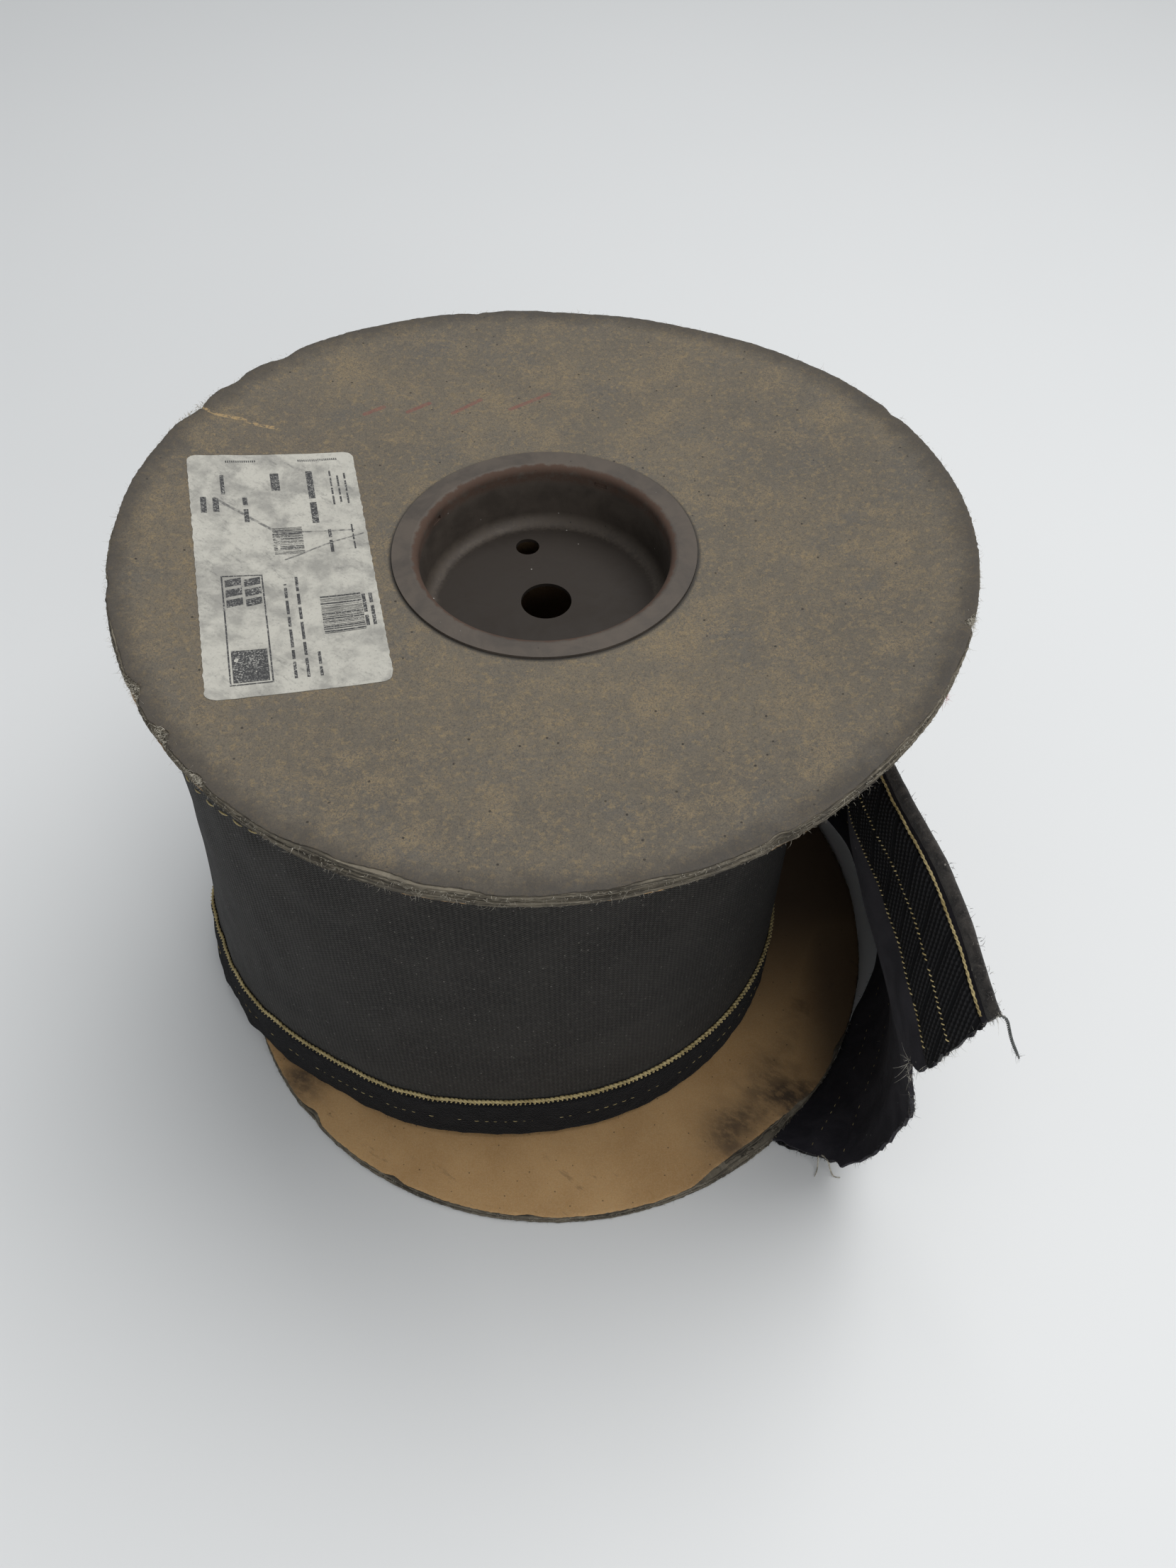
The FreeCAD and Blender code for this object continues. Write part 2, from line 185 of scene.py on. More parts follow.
# ---------------------------------------------------------------- meshes

class Shape:
    """Points, faces, UV places and material numbers of one piece, gathered grid by grid."""

    def __init__(self):
        self.points = []
        self.faces = []
        self.places = []
        self.kinds = []
        self.count = 0

    def add_points(self, points):
        first = self.count
        points = np.asarray(points, float).reshape(-1, 3)
        self.points.append(points)
        self.count += len(points)
        return first

    def grid(self, points, uv=None, kind=0, close_rows=False, close_columns=False, flip=False):
        """Quads over an (n, m, 3) grid. uv is (n + 1 or n, m + 1 or m, 2); kind is one, or one a column."""
        n, m = points.shape[:2]
        first = self.add_points(points)
        rows = n if close_rows else n - 1
        columns = m if close_columns else m - 1
        i, j = np.meshgrid(np.arange(rows), np.arange(columns), indexing="ij")
        i, j = i.ravel(), j.ravel()
        corners = [(i, j), (i + 1, j), (i + 1, j + 1), (i, j + 1)]
        if flip:
            corners.reverse()
        quads = np.stack([first + (a % n) * m + b % m for a, b in corners], 1)
        self.faces.extend(quads.tolist())
        if uv is None:
            self.places.append(np.zeros((quads.size, 2)))
        else:
            last_i, last_j = uv.shape[0] - 1, uv.shape[1] - 1
            spots = [uv[np.minimum(a, last_i), np.minimum(b, last_j)] for a, b in corners]
            self.places.append(np.stack(spots, 1).reshape(-1, 2))
        kinds = np.broadcast_to(kind, (columns,)) if np.ndim(kind) else np.full(columns, kind)
        self.kinds.extend(kinds[j].tolist())
        return first

    def face(self, corners, kind=0, uv=(0.0, 0.0)):
        self.faces.append(list(corners))
        self.places.append(np.tile(np.asarray(uv, float), (len(corners), 1)))
        self.kinds.append(kind)

    def repeat(self, points, faces):
        """The same few faces over each row of points (n, k, 3)."""
        count, size = points.shape[:2]
        first = self.add_points(points)
        for base in range(first, first + count * size, size):
            self.faces.extend([base + c for c in face] for face in faces)
        self.places.append(np.zeros((count * sum(len(face) for face in faces), 2)))
        self.kinds.extend([0] * (count * len(faces)))

    def copies(self, template, faces, frames):
        """A small template (k, 3) put at each of (n, 4, 3) frames: centre, three axes."""
        self.repeat(frames[:, :1] + np.einsum("kc,ncx->nkx", template, frames[:, 1:]), faces)

    def tube(self, rings, uv=None, flip=False, turned=False):
        """A tube through rings (n, k, 3), capped at both ends; turned swaps the way the caps face."""
        last, k = len(rings) - 1, rings.shape[1]
        first = self.grid(rings, uv, close_columns=True, flip=flip)
        for row in (0, last):
            cap = [first + row * k + n for n in range(k)]
            self.face(cap[::-1] if (row == 0) == turned else cap)

    def piece(self, name, materials, slot, replaces=(), sharp=50):
        mesh = bpy.data.meshes.new(name)
        points = np.concatenate(self.points)
        points[:, 2] = np.maximum(points[:, 2], 0.0)
        points *= MM
        mesh.from_pydata(points.tolist(), [], self.faces)
        layer = mesh.uv_layers.new(name="Cloth")
        layer.data.foreach_set("uv", (np.concatenate(self.places) * MM).ravel())
        mesh.polygons.foreach_set("use_smooth", [True] * len(mesh.polygons))
        mesh.polygons.foreach_set("material_index", self.kinds)
        for material in materials:
            mesh.materials.append(material)
        mesh.update()
        mesh.set_sharp_from_angle(angle=math.radians(sharp))
        piece = bpy.data.objects.new(name, mesh)
        bpy.context.scene.collection.objects.link(piece)
        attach(piece, "root")
        if replaces:
            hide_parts(*replaces)
        return piece


# ---------------------------------------------------------------- materials

class Finish:
    """One procedural material. Most calls give a socket back; tint lays a colour over the one so far."""

    def __init__(self, name, roughness=0.85, metallic=0.0, sheen=0.0, specular=0.4):
        self.material = bpy.data.materials.new(name)
        self.material.use_nodes = True
        self.tree = self.material.node_tree
        self.shader = self.tree.nodes["Principled BSDF"]
        self.shader.inputs["Roughness"].default_value = roughness
        self.shader.inputs["Metallic"].default_value = metallic
        self.shader.inputs["Sheen Weight"].default_value = sheen
        self.shader.inputs["Sheen Roughness"].default_value = 0.5
        self.shader.inputs["Specular IOR Level"].default_value = specular
        spots = self.add("ShaderNodeTexCoord")
        self.place = spots.outputs["Object"]
        self.cloth = spots.outputs["UV"]

    def add(self, kind, settings=(), values=()):
        node = self.tree.nodes.new(kind)
        for key, value in dict(settings).items():
            setattr(node, key, value)
        for key, value in dict(values).items():
            self.feed(node.inputs[key], value)
        return node

    def feed(self, socket, value):
        if isinstance(value, bpy.types.NodeSocket):
            self.tree.links.new(value, socket)
        else:
            socket.default_value = value

    def math(self, operation, *values):
        node = self.add("ShaderNodeMath", {"operation": operation})
        for socket, value in zip(node.inputs, values):
            self.feed(socket, value)
        return node.outputs[0]

    def times(self, a, b):
        return self.math("MULTIPLY", a, b)

    def plus(self, a, b):
        return self.math("ADD", a, b)

    def vector(self, operation, *values):
        node = self.add("ShaderNodeVectorMath", {"operation": operation})
        for key, value in enumerate(values):
            self.feed(node.inputs["Scale"] if operation == "SCALE" and key == 1 else node.inputs[key], value)
        scalar = operation in ("DOT_PRODUCT", "LENGTH", "DISTANCE")
        return node.outputs["Value" if scalar else "Vector"]

    def noise(self, size_mm, detail=2.0, rough=0.5, where=None, stretch=(1, 1, 1), warp=0.0):
        """Noise with features of about size_mm, drawn out along axes where stretch is large."""
        scale = [1 / (size_mm * MM * s) for s in stretch]
        at = self.vector("MULTIPLY", where or self.place, tuple(scale))
        values = {"Vector": at, "Scale": 1.0, "Detail": detail, "Roughness": rough, "Distortion": warp}
        return self.add("ShaderNodeTexNoise", {}, values).outputs["Fac"]

    def cells(self, size_mm, where=None):
        """Distance from the nearest of many scattered points, in units of size_mm."""
        at = self.vector("MULTIPLY", where or self.place, (1 / (size_mm * MM),) * 3)
        values = {"Vector": at, "Scale": 1.0, "Randomness": 1.0}
        return self.add("ShaderNodeTexVoronoi", {"feature": "F1"}, values).outputs["Distance"]

    def specks(self, size_mm, near, far, share, where=None):
        """Scattered round specks: share at the middle of one, 0 beyond its rim."""
        return self.ramp(self.cells(size_mm, where), near, far, share, 0.0)

    def turned(self, degrees, where=None):
        node = self.add("ShaderNodeVectorRotate", {"rotation_type": "Z_AXIS"},
                        {"Vector": where or self.place, "Angle": math.radians(degrees)})
        return node.outputs[0]

    def ramp(self, value, a, b, to_a=0.0, to_b=1.0):
        values = {"Value": value, "From Min": a, "From Max": b, "To Min": to_a, "To Max": to_b}
        return self.add("ShaderNodeMapRange", {"interpolation_type": "SMOOTHSTEP"}, values).outputs[0]

    def mix(self, share, a, b, kind="MIX"):
        node = self.add("ShaderNodeMix", {"data_type": "RGBA", "blend_type": kind})
        for key, value in ((0, share), (6, a), (7, b)):
            value = (*value, 1.0) if isinstance(value, tuple) and len(value) == 3 else value
            self.feed(node.inputs[key], value)
        return node.outputs[2]

    def axes(self, where=None):
        node = self.add("ShaderNodeSeparateXYZ", {}, {0: where or self.place})
        return node.outputs

    def radius(self):
        x, y, _ = self.axes()
        return self.math("SQRT", self.plus(self.times(x, x), self.times(y, y)))

    def bump(self, height, depth_mm, strength=1.0, onto=None):
        values = {"Height": height, "Distance": depth_mm * MM, "Strength": strength}
        if onto is not None:
            values["Normal"] = onto
        return self.add("ShaderNodeBump", {}, values).outputs[0]

    def tint(self, share, colour):
        self.colour = self.mix(share, self.colour, colour)

    def done(self, normal, roughness=None):
        self.feed(self.shader.inputs["Base Color"], self.colour)
        self.feed(self.shader.inputs["Normal"], normal)
        if roughness is not None:
            self.feed(self.shader.inputs["Roughness"], roughness)
        return self.material

    def fibres(self, length_mm, width_mm, turns, threshold, seed_shift=0.0):
        """Short paper fibres lying at several angles: 1 on a fibre, 0 between."""
        total = None
        for k, degrees in enumerate(turns):
            place = self.turned(degrees, self.vector("ADD", self.place, (seed_shift + 0.013 * k, 0.0, 0.0)))
            one = self.noise(width_mm, 1.0, 0.5, place, (length_mm / width_mm, 1, 1))
            one = self.ramp(one, threshold, threshold + 0.12)
            total = one if total is None else self.math("MAXIMUM", total, one)
        return total

    def stroke(self, points, width_mm):
        """1 on a drawn line through points (x, y in mm), 0 elsewhere."""
        nearest = None
        flat = self.vector("MULTIPLY", self.place, (1.0, 1.0, 0.0))
        for (ax, ay), (bx, by) in zip(points, points[1:]):
            along = ((bx - ax) * MM, (by - ay) * MM, 0.0)
            size = along[0] ** 2 + along[1] ** 2
            start = self.vector("SUBTRACT", flat, (ax * MM, ay * MM, 0.0))
            share = self.vector("DOT_PRODUCT", start, tuple(c / size for c in along))
            share = self.math("MINIMUM", self.math("MAXIMUM", share, 0.0), 1.0)
            foot = self.vector("SCALE", along, share)
            gap = self.vector("DISTANCE", start, foot)
            nearest = gap if nearest is None else self.math("MINIMUM", nearest, gap)
        return self.ramp(nearest, width_mm * MM * 0.35, width_mm * MM * 0.65, 1.0, 0.0)


# plain slanting scuffs on the upper flange: the two ends of each, mm
MARKER = [
    [(-58, 66), (-52, 70)],
    [(-44, 68), (-37, 73)],
    [(-29, 68), (-20, 75)],
    [(-10, 70), (3, 78)]]


def kraft_outer():
    """Grey-brown handled kraft: golden fibre mottling, blue-grey patches, specks, dark rim."""
    f = Finish("kraft_outer", 0.82, specular=0.3)
    broad = f.noise(60, 4, 0.6, warp=0.15)
    f.colour = f.mix(f.ramp(broad, 0.3, 0.7), (0.108, 0.094, 0.075), (0.152, 0.129, 0.097))
    blue = f.ramp(f.noise(24, 4, 0.65, f.vector("ADD", f.place, (0.31, 0.17, 0.0)), warp=0.15), 0.48, 0.72)
    f.tint(f.times(blue, 0.45), (0.092, 0.093, 0.093))
    cloud = f.ramp(f.noise(16, 5, 0.7, f.vector("ADD", f.place, (0.11, 0.53, 0.0)), warp=0.15), 0.42, 0.72)
    gold = f.fibres(1.5, 0.32, (0, 33, 71, 112, 150), 0.53)
    share = f.times(gold, f.ramp(cloud, 0.0, 1.0, 0.16, 0.85))
    f.tint(share, (0.235, 0.178, 0.104))
    speckle = f.ramp(f.noise(2.0, 5, 0.78), 0.50, 0.64, 0.0, 0.62)
    f.tint(speckle, (0.255, 0.188, 0.100))
    pits = f.ramp(f.noise(1.5, 5, 0.78, f.vector("ADD", f.place, (0.4, 0.2, 0.0))), 0.52, 0.70, 0.0, 0.40)
    f.tint(pits, (0.048, 0.044, 0.040))
    dark = f.fibres(1.1, 0.3, (18, 64, 97, 139), 0.60, 0.2)
    f.tint(f.times(dark, 0.55), (0.062, 0.056, 0.050))
    grain = f.noise(0.45, 3, 0.7)
    f.tint(f.ramp(grain, 0.3, 0.7, 0.30, 0.0), (0.06, 0.053, 0.046))
    specks = f.specks(5.5, 0.05, 0.085, 1.0)
    f.tint(f.times(specks, 0.8), (0.018, 0.016, 0.015))
    radius = f.radius()
    worn = f.plus(radius, f.times(f.noise(9, 4, 0.7), 0.012))
    f.tint(f.ramp(worn, 0.1225, 0.1325, 0.0, 0.75), (0.050, 0.044, 0.038))
    f.tint(f.ramp(radius, 0.0463, 0.0475, 0.9, 0.0), (0.030, 0.027, 0.024))
    for points in MARKER:
        ink = f.times(f.stroke(points, 1.5), f.ramp(f.noise(1.1, 3, 0.7), 0.30, 0.60, 0.25, 0.62))
        f.tint(ink, (0.185, 0.066, 0.055))
    scratch = f.stroke([(-111, 62), (-104, 59), (-97, 58.5), (-91, 56.5), (-85.5, 56)], 1.7)
    scratch = f.times(scratch, f.ramp(f.noise(1.6, 3, 0.8), 0.42, 0.55))
    f.tint(f.times(scratch, 0.8), (0.36, 0.25, 0.12))
    normal = f.bump(f.noise(0.5, 4, 0.7), 0.10, 0.8)
    normal = f.bump(gold, 0.05, 0.5, normal)
    normal = f.bump(f.noise(7, 3, 0.6), 0.35, 0.6, normal)
    return f.done(normal, f.ramp(broad, 0.3, 0.7, 0.74, 0.9))


def kraft_inner():
    """Orange-brown kraft of the inner faces, rubbed and smudged with black, with painted shade darkening it
    towards the right and the back right.
    """
    f = Finish("kraft_inner", 0.78, specular=0.35)
    broad = f.noise(32, 4, 0.55, warp=0.2)
    f.colour = f.mix(f.ramp(broad, 0.3, 0.7), (0.430, 0.252, 0.104), (0.540, 0.332, 0.148))
    fibre = f.fibres(2.2, 0.35, (5, 48, 93, 137), 0.55)
    f.tint(f.times(fibre, 0.25), (0.58, 0.41, 0.23))
    grain = f.noise(0.6, 3, 0.7)
    f.tint(f.ramp(grain, 0.3, 0.7, 0.22, 0.0), (0.20, 0.12, 0.055))
    x, y, _ = f.axes()
    sides = f.plus(f.ramp(x, 0.040, 0.066), f.ramp(x, -0.100, -0.082, 1.0, 0.0))
    near_rim = f.ramp(f.radius(), 0.090, 0.118)
    # Partly real black smudges near the rim at both sides, partly painted shade.
    smudge_and_shade = f.times(f.times(sides, near_rim), f.ramp(f.noise(24, 3, 0.5), 0.22, 0.66))
    smudge_and_shade = f.times(smudge_and_shade, f.ramp(f.noise(3.0, 5, 0.75, f.turned(35), (2, 1, 1)), 0.36, 0.60, 0.62, 1.0))
    # Painted shade: darker towards the right, where the upper flange and the tail shade the board.
    smudge_and_shade = f.math("MAXIMUM", smudge_and_shade, f.ramp(x, 0.084, 0.112, 0.0, 0.85))
    # Painted shade: darker towards the back on the right.
    behind = f.times(f.ramp(y, -0.070, 0.010, 0.0, 0.95), f.ramp(x, 0.055, 0.085))
    smudge_and_shade = f.math("MAXIMUM", smudge_and_shade, behind)
    scuffs = f.ramp(f.noise(3.2, 4, 0.7, f.turned(35), (3.5, 1, 1)), 0.60, 0.72, 0.0, 0.35)
    smudge_and_shade = f.math("MAXIMUM", f.times(smudge_and_shade, 0.95), f.times(scuffs, near_rim))
    f.tint(smudge_and_shade, (0.048, 0.035, 0.026))
    specks = f.specks(4.2, 0.05, 0.09, 0.7)
    f.tint(specks, (0.05, 0.034, 0.022))
    normal = f.bump(f.noise(0.6, 4, 0.7), 0.08, 0.8)
    normal = f.bump(broad, 0.8, 0.5, normal)
    return f.done(normal, f.ramp(smudge_and_shade, 0.0, 1.0, 0.72, 0.6))


def chipboard():
    """Grey laminated board: thin dirty plies along the rim, plain mottled board on the faces."""
    f = Finish("chipboard", 0.92, specular=0.2)
    at_rim = f.ramp(f.radius(), (RIM_R - 5) * MM, (RIM_R - 3.5) * MM)
    strata = f.noise(0.42, 2, 0.6, f.cloth, (60, 1, 1), warp=0.3)
    off_rim = f.times(f.noise(3.0, 5, 0.7), f.math("SUBTRACT", 1.0, at_rim))
    strata = f.plus(f.times(strata, at_rim), off_rim)
    f.colour = f.mix(f.ramp(strata, 0.36, 0.62), (0.045, 0.039, 0.031), (0.175, 0.152, 0.115))
    pale = f.ramp(f.noise(0.9, 4, 0.7, f.cloth, (5, 1, 1)), 0.5, 0.66)
    f.tint(f.times(f.times(pale, at_rim), 0.4), (0.290, 0.262, 0.205))
    grime = f.ramp(f.noise(13, 4, 0.7, warp=0.6), 0.50, 0.68)
    f.tint(f.times(grime, 0.65), (0.060, 0.054, 0.047))
    normal = f.bump(f.times(strata, at_rim), 0.30, 1.0)
    normal = f.bump(f.noise(0.4, 3, 0.7), 0.15, 0.8, normal)
    return f.done(normal)


def core_paper():
    """Spiral-wound paper tube, its turns showing as slanting lines."""
    f = Finish("core_paper", 0.85, specular=0.3)
    x, y, z = f.axes()
    turn = f.times(f.math("ARCTAN2", y, x), 0.0069)
    joint = f.math("PINGPONG", f.plus(z, turn), 0.0217)
    f.colour = f.mix(f.noise(14, 4, 0.6), (0.21, 0.13, 0.07), (0.30, 0.20, 0.11))
    f.tint(f.ramp(joint, 0.0002, 0.0006, 0.7, 0.0), (0.07, 0.045, 0.025))
    fibre = f.fibres(2.0, 0.4, (10, 80, 130), 0.56)
    f.tint(f.times(fibre, 0.3), (0.38, 0.27, 0.16))
    normal = f.bump(f.ramp(joint, 0.0002, 0.0006), 0.2, 0.8, f.bump(f.noise(0.7, 4, 0.7), 0.1, 0.7))
    return f.done(normal)


def hub_steel():
    """Dull dark oxidised steel with a rusty bend at the cup's mouth; painted shade darkens it deeper in the
    cup and most on its floor.
    """
    f = Finish("hub_steel", 0.5, metallic=0.35, specular=0.45)
    cloud = f.noise(11, 5, 0.65, warp=0.4)
    f.colour = f.mix(f.ramp(cloud, 0.32, 0.68), (0.064, 0.053, 0.044), (0.098, 0.080, 0.065))
    radius = f.radius()
    _, _, z = f.axes()
    from_middle = f.math("ABSOLUTE", f.math("SUBTRACT", z, LIP_TOP / 2 * MM))
    depth = f.math("SUBTRACT", LIP_TOP / 2 * MM, from_middle)
    # Painted shade: darker the deeper into the cup.
    depth_shade = f.ramp(depth, 0.002, 0.010)
    f.tint(f.times(depth_shade, 0.35), (0.050, 0.038, 0.029))
    # Painted shade: darkest on the cup's floor.
    floor = f.times(f.ramp(radius, 0.0335, 0.0370, 1.0, 0.0), f.ramp(depth, 0.010, 0.018))
    f.tint(f.times(floor, 0.85), (0.020, 0.0145, 0.0105))
    ragged = f.times(f.noise(3.0, 4, 0.7), 0.0030)
    bend = f.math("SUBTRACT", f.plus(radius, ragged), 0.0403)
    rust = f.ramp(f.math("ABSOLUTE", bend), 0.0004, 0.0015, 1.0, 0.0)
    rust = f.times(rust, f.ramp(depth, 0.004, 0.007, 1.0, 0.0))
    f.tint(f.times(rust, 0.6), (0.085, 0.040, 0.024))
    low_wall = f.plus(depth, f.times(f.noise(1.6, 4, 0.75), 0.004))
    band = f.times(f.ramp(low_wall, 0.0190, 0.0215), f.ramp(radius, 0.0325, 0.0355))
    flakes = f.ramp(f.noise(1.3, 4, 0.75), 0.44, 0.58)
    f.tint(f.times(f.times(band, flakes), 0.5), (0.082, 0.066, 0.050))
    spots = f.specks(3.0, 0.06, 0.12, 0.7)
    spots = f.times(spots, f.ramp(f.noise(12, 2), 0.48, 0.62))
    f.tint(spots, (0.020, 0.016, 0.014))
    specks = f.specks(6.5, 0.03, 0.045, 0.8, f.vector("ADD", f.place, (0.1, 0.2, 0.3)))
    f.tint(specks, (0.36, 0.34, 0.31))
    ring = f.noise(0.5, 3, 0.6)
    roughness = f.plus(f.ramp(cloud, 0.3, 0.7, 0.56, 0.72), f.times(rust, 0.25))
    normal = f.bump(ring, 0.03, 0.6, f.bump(cloud, 0.25, 0.4))
    return f.done(normal, roughness)


# creases of the label: points and width, mm
CREASES = [
    ([(-100.5, 20.5), (-91, 14.5), (-80.5, 7.5)], 0.9),
    ([(-80.5, 7.5), (-58, 10.5)], 0.7),
    ([(-77, -4), (-63, 5), (-55, 9)], 0.6)]


def label_paper():
    """Smudged, creased pale label stock."""
    f = Finish("label_paper", 0.6, specular=0.45)
    cloud = f.noise(10, 5, 0.65, warp=0.25)
    f.colour = f.mix(f.ramp(cloud, 0.40, 0.66), (0.430, 0.415, 0.365), (0.265, 0.256, 0.230))
    grime = f.ramp(f.noise(2.2, 5, 0.75, f.turned(40), (2.5, 1, 1), warp=0.15), 0.50, 0.72)
    grime = f.times(grime, f.ramp(f.noise(21, 3, 0.6), 0.40, 0.62))
    f.tint(f.times(grime, 0.7), (0.105, 0.102, 0.098))
    fine = f.ramp(f.noise(0.8, 4, 0.75), 0.52, 0.72)
    f.tint(f.times(fine, 0.5), (0.16, 0.155, 0.145))
    for points, width in CREASES:
        line = f.times(f.stroke(points, width), f.ramp(f.noise(1.2, 3), 0.35, 0.6, 0.3, 0.85))
        f.tint(line, (0.085, 0.083, 0.080))
    normal = f.bump(f.noise(5, 4, 0.6, warp=1.0), 0.25, 0.6)
    normal = f.bump(fine, 0.03, 0.6, normal)
    return f.done(normal, f.ramp(cloud, 0.3, 0.7, 0.5, 0.72))


def label_ink():
    """Worn black print, the paper showing through in flakes."""
    f = Finish("label_ink", 0.55)
    worn = f.ramp(f.noise(0.55, 4, 0.75), 0.50, 0.62)
    worn = f.times(worn, f.ramp(f.noise(9, 3, 0.6), 0.35, 0.65, 0.35, 1.0))
    f.colour = f.mix(worn, (0.030, 0.030, 0.031), (0.36, 0.35, 0.32))
    return f.done(f.bump(worn, 0.02, 0.6))


def woven_glass():
    """Charcoal woven glass: upright ribs crossed by finer picks, lint and pale specks."""
    f = Finish("woven_glass", 0.82, sheen=0.04, specular=0.18)
    u, v, _ = f.axes(f.cloth)
    sway = f.times(f.math("SUBTRACT", f.noise(9, 2, 0.5, f.cloth), 0.5), 0.0009)
    rib = f.math("SINE", f.times(f.plus(u, sway), 2 * math.pi / 0.00160))
    pick = f.math("SINE", f.times(v, 2 * math.pi / 0.00112))
    weave = f.plus(f.times(rib, 0.24), f.times(f.times(pick, rib), 0.45))
    weave = f.ramp(weave, -0.9, 0.9)
    tone = f.noise(22, 4, 0.6, f.cloth, warp=0.5)
    f.colour = f.mix(weave, (0.0045, 0.0042, 0.0040), (0.0250, 0.0228, 0.0200))
    f.tint(f.ramp(tone, 0.35, 0.68, 0.0, 0.45), (0.0300, 0.0275, 0.0245))
    yarn = f.ramp(f.noise(1.3, 4, 0.75, f.cloth, (1, 1.6, 1)), 0.50, 0.66)
    f.tint(f.times(yarn, 0.55), (0.055, 0.051, 0.045))
    lint = f.specks(3.4, 0.05, 0.10, 0.55, f.cloth)
    f.tint(lint, (0.25, 0.235, 0.21))
    normal = f.bump(weave, 0.35, 0.9)
    normal = f.bump(f.noise(0.45, 3, 0.7, f.cloth), 0.15, 0.8, normal)
    return f.done(normal, f.ramp(weave, 0.0, 1.0, 0.85, 0.62))


def felt_back():
    """The wrap's inner face: dark and smooth, with a felted nap and a few pale specks."""
    f = Finish("felt_back", 0.95, sheen=0.03, specular=0.10)
    tone = f.noise(17, 4, 0.6, f.cloth, warp=0.6)
    f.colour = f.mix(f.ramp(tone, 0.3, 0.7), (0.0180, 0.0170, 0.0215), (0.0370, 0.0345, 0.0410))
    nap = f.noise(0.55, 4, 0.75, f.cloth)
    f.tint(f.ramp(nap, 0.55, 0.8, 0.0, 0.6), (0.045, 0.043, 0.048))
    lint = f.specks(7.0, 0.02, 0.045, 0.7, f.cloth)
    f.tint(lint, (0.30, 0.29, 0.26))
    normal = f.bump(nap, 0.22, 0.9, f.bump(f.noise(4, 3, 0.6, f.cloth), 0.5, 0.4))
    return f.done(normal)


def loop_tape():
    """Black velvety loop pile."""
    f = Finish("loop_tape", 0.98, sheen=0.05, specular=0.08)
    pile = f.cells(0.55, f.cloth)
    tone = f.noise(6, 4, 0.65, f.cloth, warp=0.8)
    f.colour = f.mix(f.ramp(tone, 0.35, 0.7), (0.0025, 0.0025, 0.0032), (0.0062, 0.0060, 0.0068))
    f.tint(f.ramp(pile, 0.5, 0.9, 0.0, 0.5), (0.0115, 0.0112, 0.0120))
    dust = f.ramp(f.noise(0.8, 4, 0.8, f.cloth), 0.66, 0.76, 0.0, 0.55)
    f.tint(dust, (0.07, 0.066, 0.060))
    normal = f.bump(pile, 0.45, 1.0, f.bump(f.noise(2.2, 3, 0.6, f.cloth), 0.5, 0.7))
    return f.done(normal)


def hook_tape():
    """Woven hook tape: beaded diagonal rows, broken by darker slanting lines."""
    f = Finish("hook_tape", 0.6, specular=0.18)
    u, v, _ = f.axes(f.cloth)
    slant = f.plus(f.times(u, 0.86), f.times(v, 0.50))
    along = f.math("SUBTRACT", f.times(v, 0.86), f.times(u, 0.50))
    row = f.math("SINE", f.times(slant, 2 * math.pi / 0.00155))
    shift = f.times(f.math("FLOOR", f.math("DIVIDE", slant, 0.00155)), 0.0006)
    bead = f.math("SINE", f.times(f.plus(along, shift), 2 * math.pi / 0.00125))
    body = f.plus(f.times(row, 0.6), f.times(bead, 0.4))
    height = f.ramp(body, -0.8, 0.9)
    groove = f.math("PINGPONG", slant, 0.0047)
    groove = f.ramp(groove, 0.00035, 0.0010)
    height = f.times(height, groove)
    f.colour = f.mix(height, (0.0020, 0.0020, 0.0027), (0.0120, 0.0117, 0.0132))
    glint = f.ramp(f.noise(0.5, 3, 0.7, f.cloth), 0.60, 0.74, 0.0, 0.6)
    f.tint(f.times(glint, height), (0.070, 0.067, 0.068))
    lint = f.specks(6.0, 0.03, 0.06, 0.6, f.cloth)
    f.tint(lint, (0.30, 0.27, 0.20))
    normal = f.bump(height, 0.55, 1.0)
    return f.done(normal, f.ramp(height, 0.0, 1.0, 0.85, 0.48))


def thread_gold():
    """Dusty gold sewing thread, its twist showing as slanting lines."""
    f = Finish("thread_gold", 0.55, sheen=0.1, specular=0.4)
    tone = f.noise(7, 4, 0.7)
    f.colour = f.mix(f.ramp(tone, 0.33, 0.66), (0.300, 0.225, 0.080), (0.580, 0.470, 0.225))
    fine = f.noise(0.5, 3, 0.7)
    f.tint(f.ramp(fine, 0.35, 0.65, 0.55, 0.0), (0.150, 0.120, 0.060))
    return f.done(f.bump(fine, 0.10, 0.9))


def binding_tape():
    """Brown-black felted edge, its nap full of grey dust."""
    f = Finish("binding_tape", 0.95, sheen=0.15, specular=0.2)
    nap = f.noise(0.6, 4, 0.75)
    tone = f.noise(5, 4, 0.65, warp=0.7)
    f.colour = f.mix(f.ramp(tone, 0.35, 0.68), (0.0140, 0.0125, 0.0120), (0.0520, 0.0460, 0.0410))
    f.tint(f.ramp(nap, 0.54, 0.72, 0.0, 0.7), (0.115, 0.105, 0.095))
    lint = f.specks(4.0, 0.05, 0.11, 0.8)
    f.tint(lint, (0.25, 0.235, 0.21))
    return f.done(f.bump(nap, 0.5, 1.0))


def fibre(name, dark, pale):
    """Loose fibres and threads."""
    f = Finish(name, 0.7, sheen=0.1, specular=0.3)
    tone = f.noise(1.6, 3, 0.7)
    f.colour = f.mix(f.ramp(tone, 0.35, 0.65), dark, pale)
    return f.done(f.bump(tone, 0.05, 0.5))


def floor_finish():
    f = Finish("pale_floor", 0.55, specular=0.3)
    tone = f.noise(300, 3, 0.5)
    f.colour = f.mix(tone, (0.700, 0.708, 0.710), (0.730, 0.735, 0.735))
    return f.done(f.bump(f.noise(6, 3), 0.02, 0.3))


# ---------------------------------------------------------------- the wrap's surface

